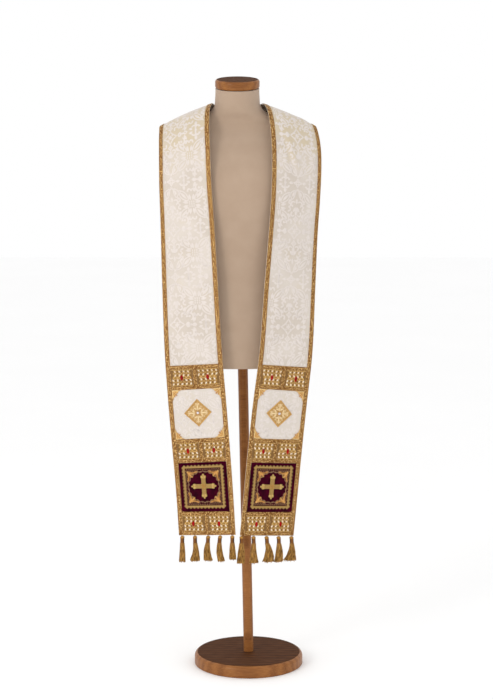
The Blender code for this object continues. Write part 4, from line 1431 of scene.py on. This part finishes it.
def make_form():
    make_bust()
    tilt = np.array(Euler((CAP_TILT, 0, 0)).to_matrix())
    cap_at = np.array([PLUMB_X, 0, NECK_TOP + GAP])
    cap = disc_rows(CAP_RADIUS, CAP_HEIGHT, 0.007, 0.007)
    turned_wood("neck_cap_turned", "neck_cap", cap, lambda p: p @ tilt.T + cap_at)
    base = disc_rows(BASE_RADIUS, BASE_HEIGHT, 0.012, 0.002, 192)
    turned_wood("base_turned", "base", base, as_made)
    foot = np.array([0, 0, BASE_HEIGHT + 2 * GAP])
    head = np.array([PLUMB_X * BUST[0].z / NECK_TOP, 0, BUST[0].z - 2 * GAP])
    profile = [(POLE_RADIUS, z) for z in np.linspace(0, np.linalg.norm(head - foot), 12)]
    lean = np.array(Euler((0, math.atan2(head[0] - foot[0], head[2] - foot[2]), 0)).to_matrix())
    piece = Piece()
    piece.add(lathe(profile, 48), WOOD_SIDE)
    piece.make("pole_turned", lambda p: p @ lean.T + foot, "wood", ["pole"])


# The stole ----------------------------------------------------------------------------------

STRIP_COLUMNS, STRIP_ROWS = 33, 300


def make_half(side, sections, creases, hangs, ring_at, rng):
    """One half of the stole with all that is sewn on it."""
    drape, cloth, half = Drape(side, sections, creases), Piece(), STRIP_WIDTH / 2
    sheet = panel(-half, half, 0, drape.length, 0, STRIP_THICK, STRIP_COLUMNS, STRIP_ROWS, 0.0008)
    cloth.add(sheet, BROCADE)
    strip = drape.make(cloth, "stole_strip", "brocade", ["strip"])
    mark_lining(strip)
    bands_top = max(high for _, _, _, high in band_heights())
    low, high = band("plain")
    fields = [(bands_top + 0.0005, drape.length - 0.0015), (low + 0.0003, high - 0.0003)]
    figure = make_figure(drape, ring_at, fields)
    braids = make_braids(drape)
    lattice = make_lattice(drape, rng)
    velvet_square, velvet_gold = make_velvet(drape)
    plain_square = make_plain_square(drape)
    tassels = make_tassels(drape, hangs, rng)


def mark_lining(strip):
    """Gives the strip's underside the lining."""
    around = 2 * STRIP_COLUMNS + 6
    strip.data.materials.append(LINING)
    kinds = np.zeros(len(strip.data.polygons), int)
    side = np.arange(around * (STRIP_ROWS - 1)) % around
    kinds[: len(side)] = (side >= STRIP_COLUMNS + 3) & (side < 2 * STRIP_COLUMNS + 2)
    strip.data.polygons.foreach_set("material_index", kinds)


# The stage ----------------------------------------------------------------------------------

FLOOR_REACH, FLOOR_Z = 14.0, -0.0005


def area_light(name, at, aim, size, power, tint):
    data = bpy.data.lights.new(name, "AREA")
    data.shape, data.size, data.energy, data.color = "DISK", size, power, tint
    lamp = bpy.data.objects.new(name, data)
    bpy.context.scene.collection.objects.link(lamp)
    lamp.location = at
    lamp.rotation_euler = (Vector(aim) - Vector(at)).to_track_quat("-Z", "Y").to_euler()


def make_stage():
    scene = bpy.context.scene
    scene.view_settings.view_transform = "Standard"
    world = bpy.data.worlds.new("studio")
    world.use_nodes = True
    world.node_tree.nodes["Background"].inputs["Color"].default_value = (1.0, 1.0, 1.0, 1)
    world.node_tree.nodes["Background"].inputs["Strength"].default_value = 1.0
    scene.world = world

    mesh = bpy.data.meshes.new("floor")
    corners = [(x * FLOOR_REACH, y * FLOOR_REACH, 0) for x, y in ((-1, -1), (1, -1), (1, 1), (-1, 1))]
    mesh.from_pydata(corners, [], [(0, 1, 2, 3)])
    mesh.materials.append(floor_finish())
    floor = bpy.data.objects.new("floor", mesh)
    floor.location = (0, 0, FLOOR_Z)
    scene.collection.objects.link(floor)
    floor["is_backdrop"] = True

    area_light("key", (-2.6, -3.2, 2.0), (0, 0, 1.0), 1.2, 42, (1.0, 0.96, 0.91))
    area_light("fill", (2.8, -3.0, 1.6), (0, 0, 1.0), 2.0, 8, (1.0, 0.98, 0.96))

    data = bpy.data.cameras.new("camera")
    data.lens, data.sensor_width = 93.0, 36.0
    camera = bpy.data.objects.new("camera", data)
    camera.location = (-0.006, -5.0, 1.57)
    camera.rotation_euler = (math.radians(82.35), 0, 0)
    scene.collection.objects.link(camera)
    scene.camera = camera


def main():
    rng = np.random.default_rng(11)
    make_half(-1, STRIP_R, CREASES_R, TASSELS_R, RING_R, rng)
    make_half(1, STRIP_L, CREASES_L, TASSELS_L, RING_L, rng)
    make_form()
    make_stage()


main()

corners = {"cad": cad_box, "visual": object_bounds()}
{name: [list(corner) for corner in box] for name, box in corners.items()}
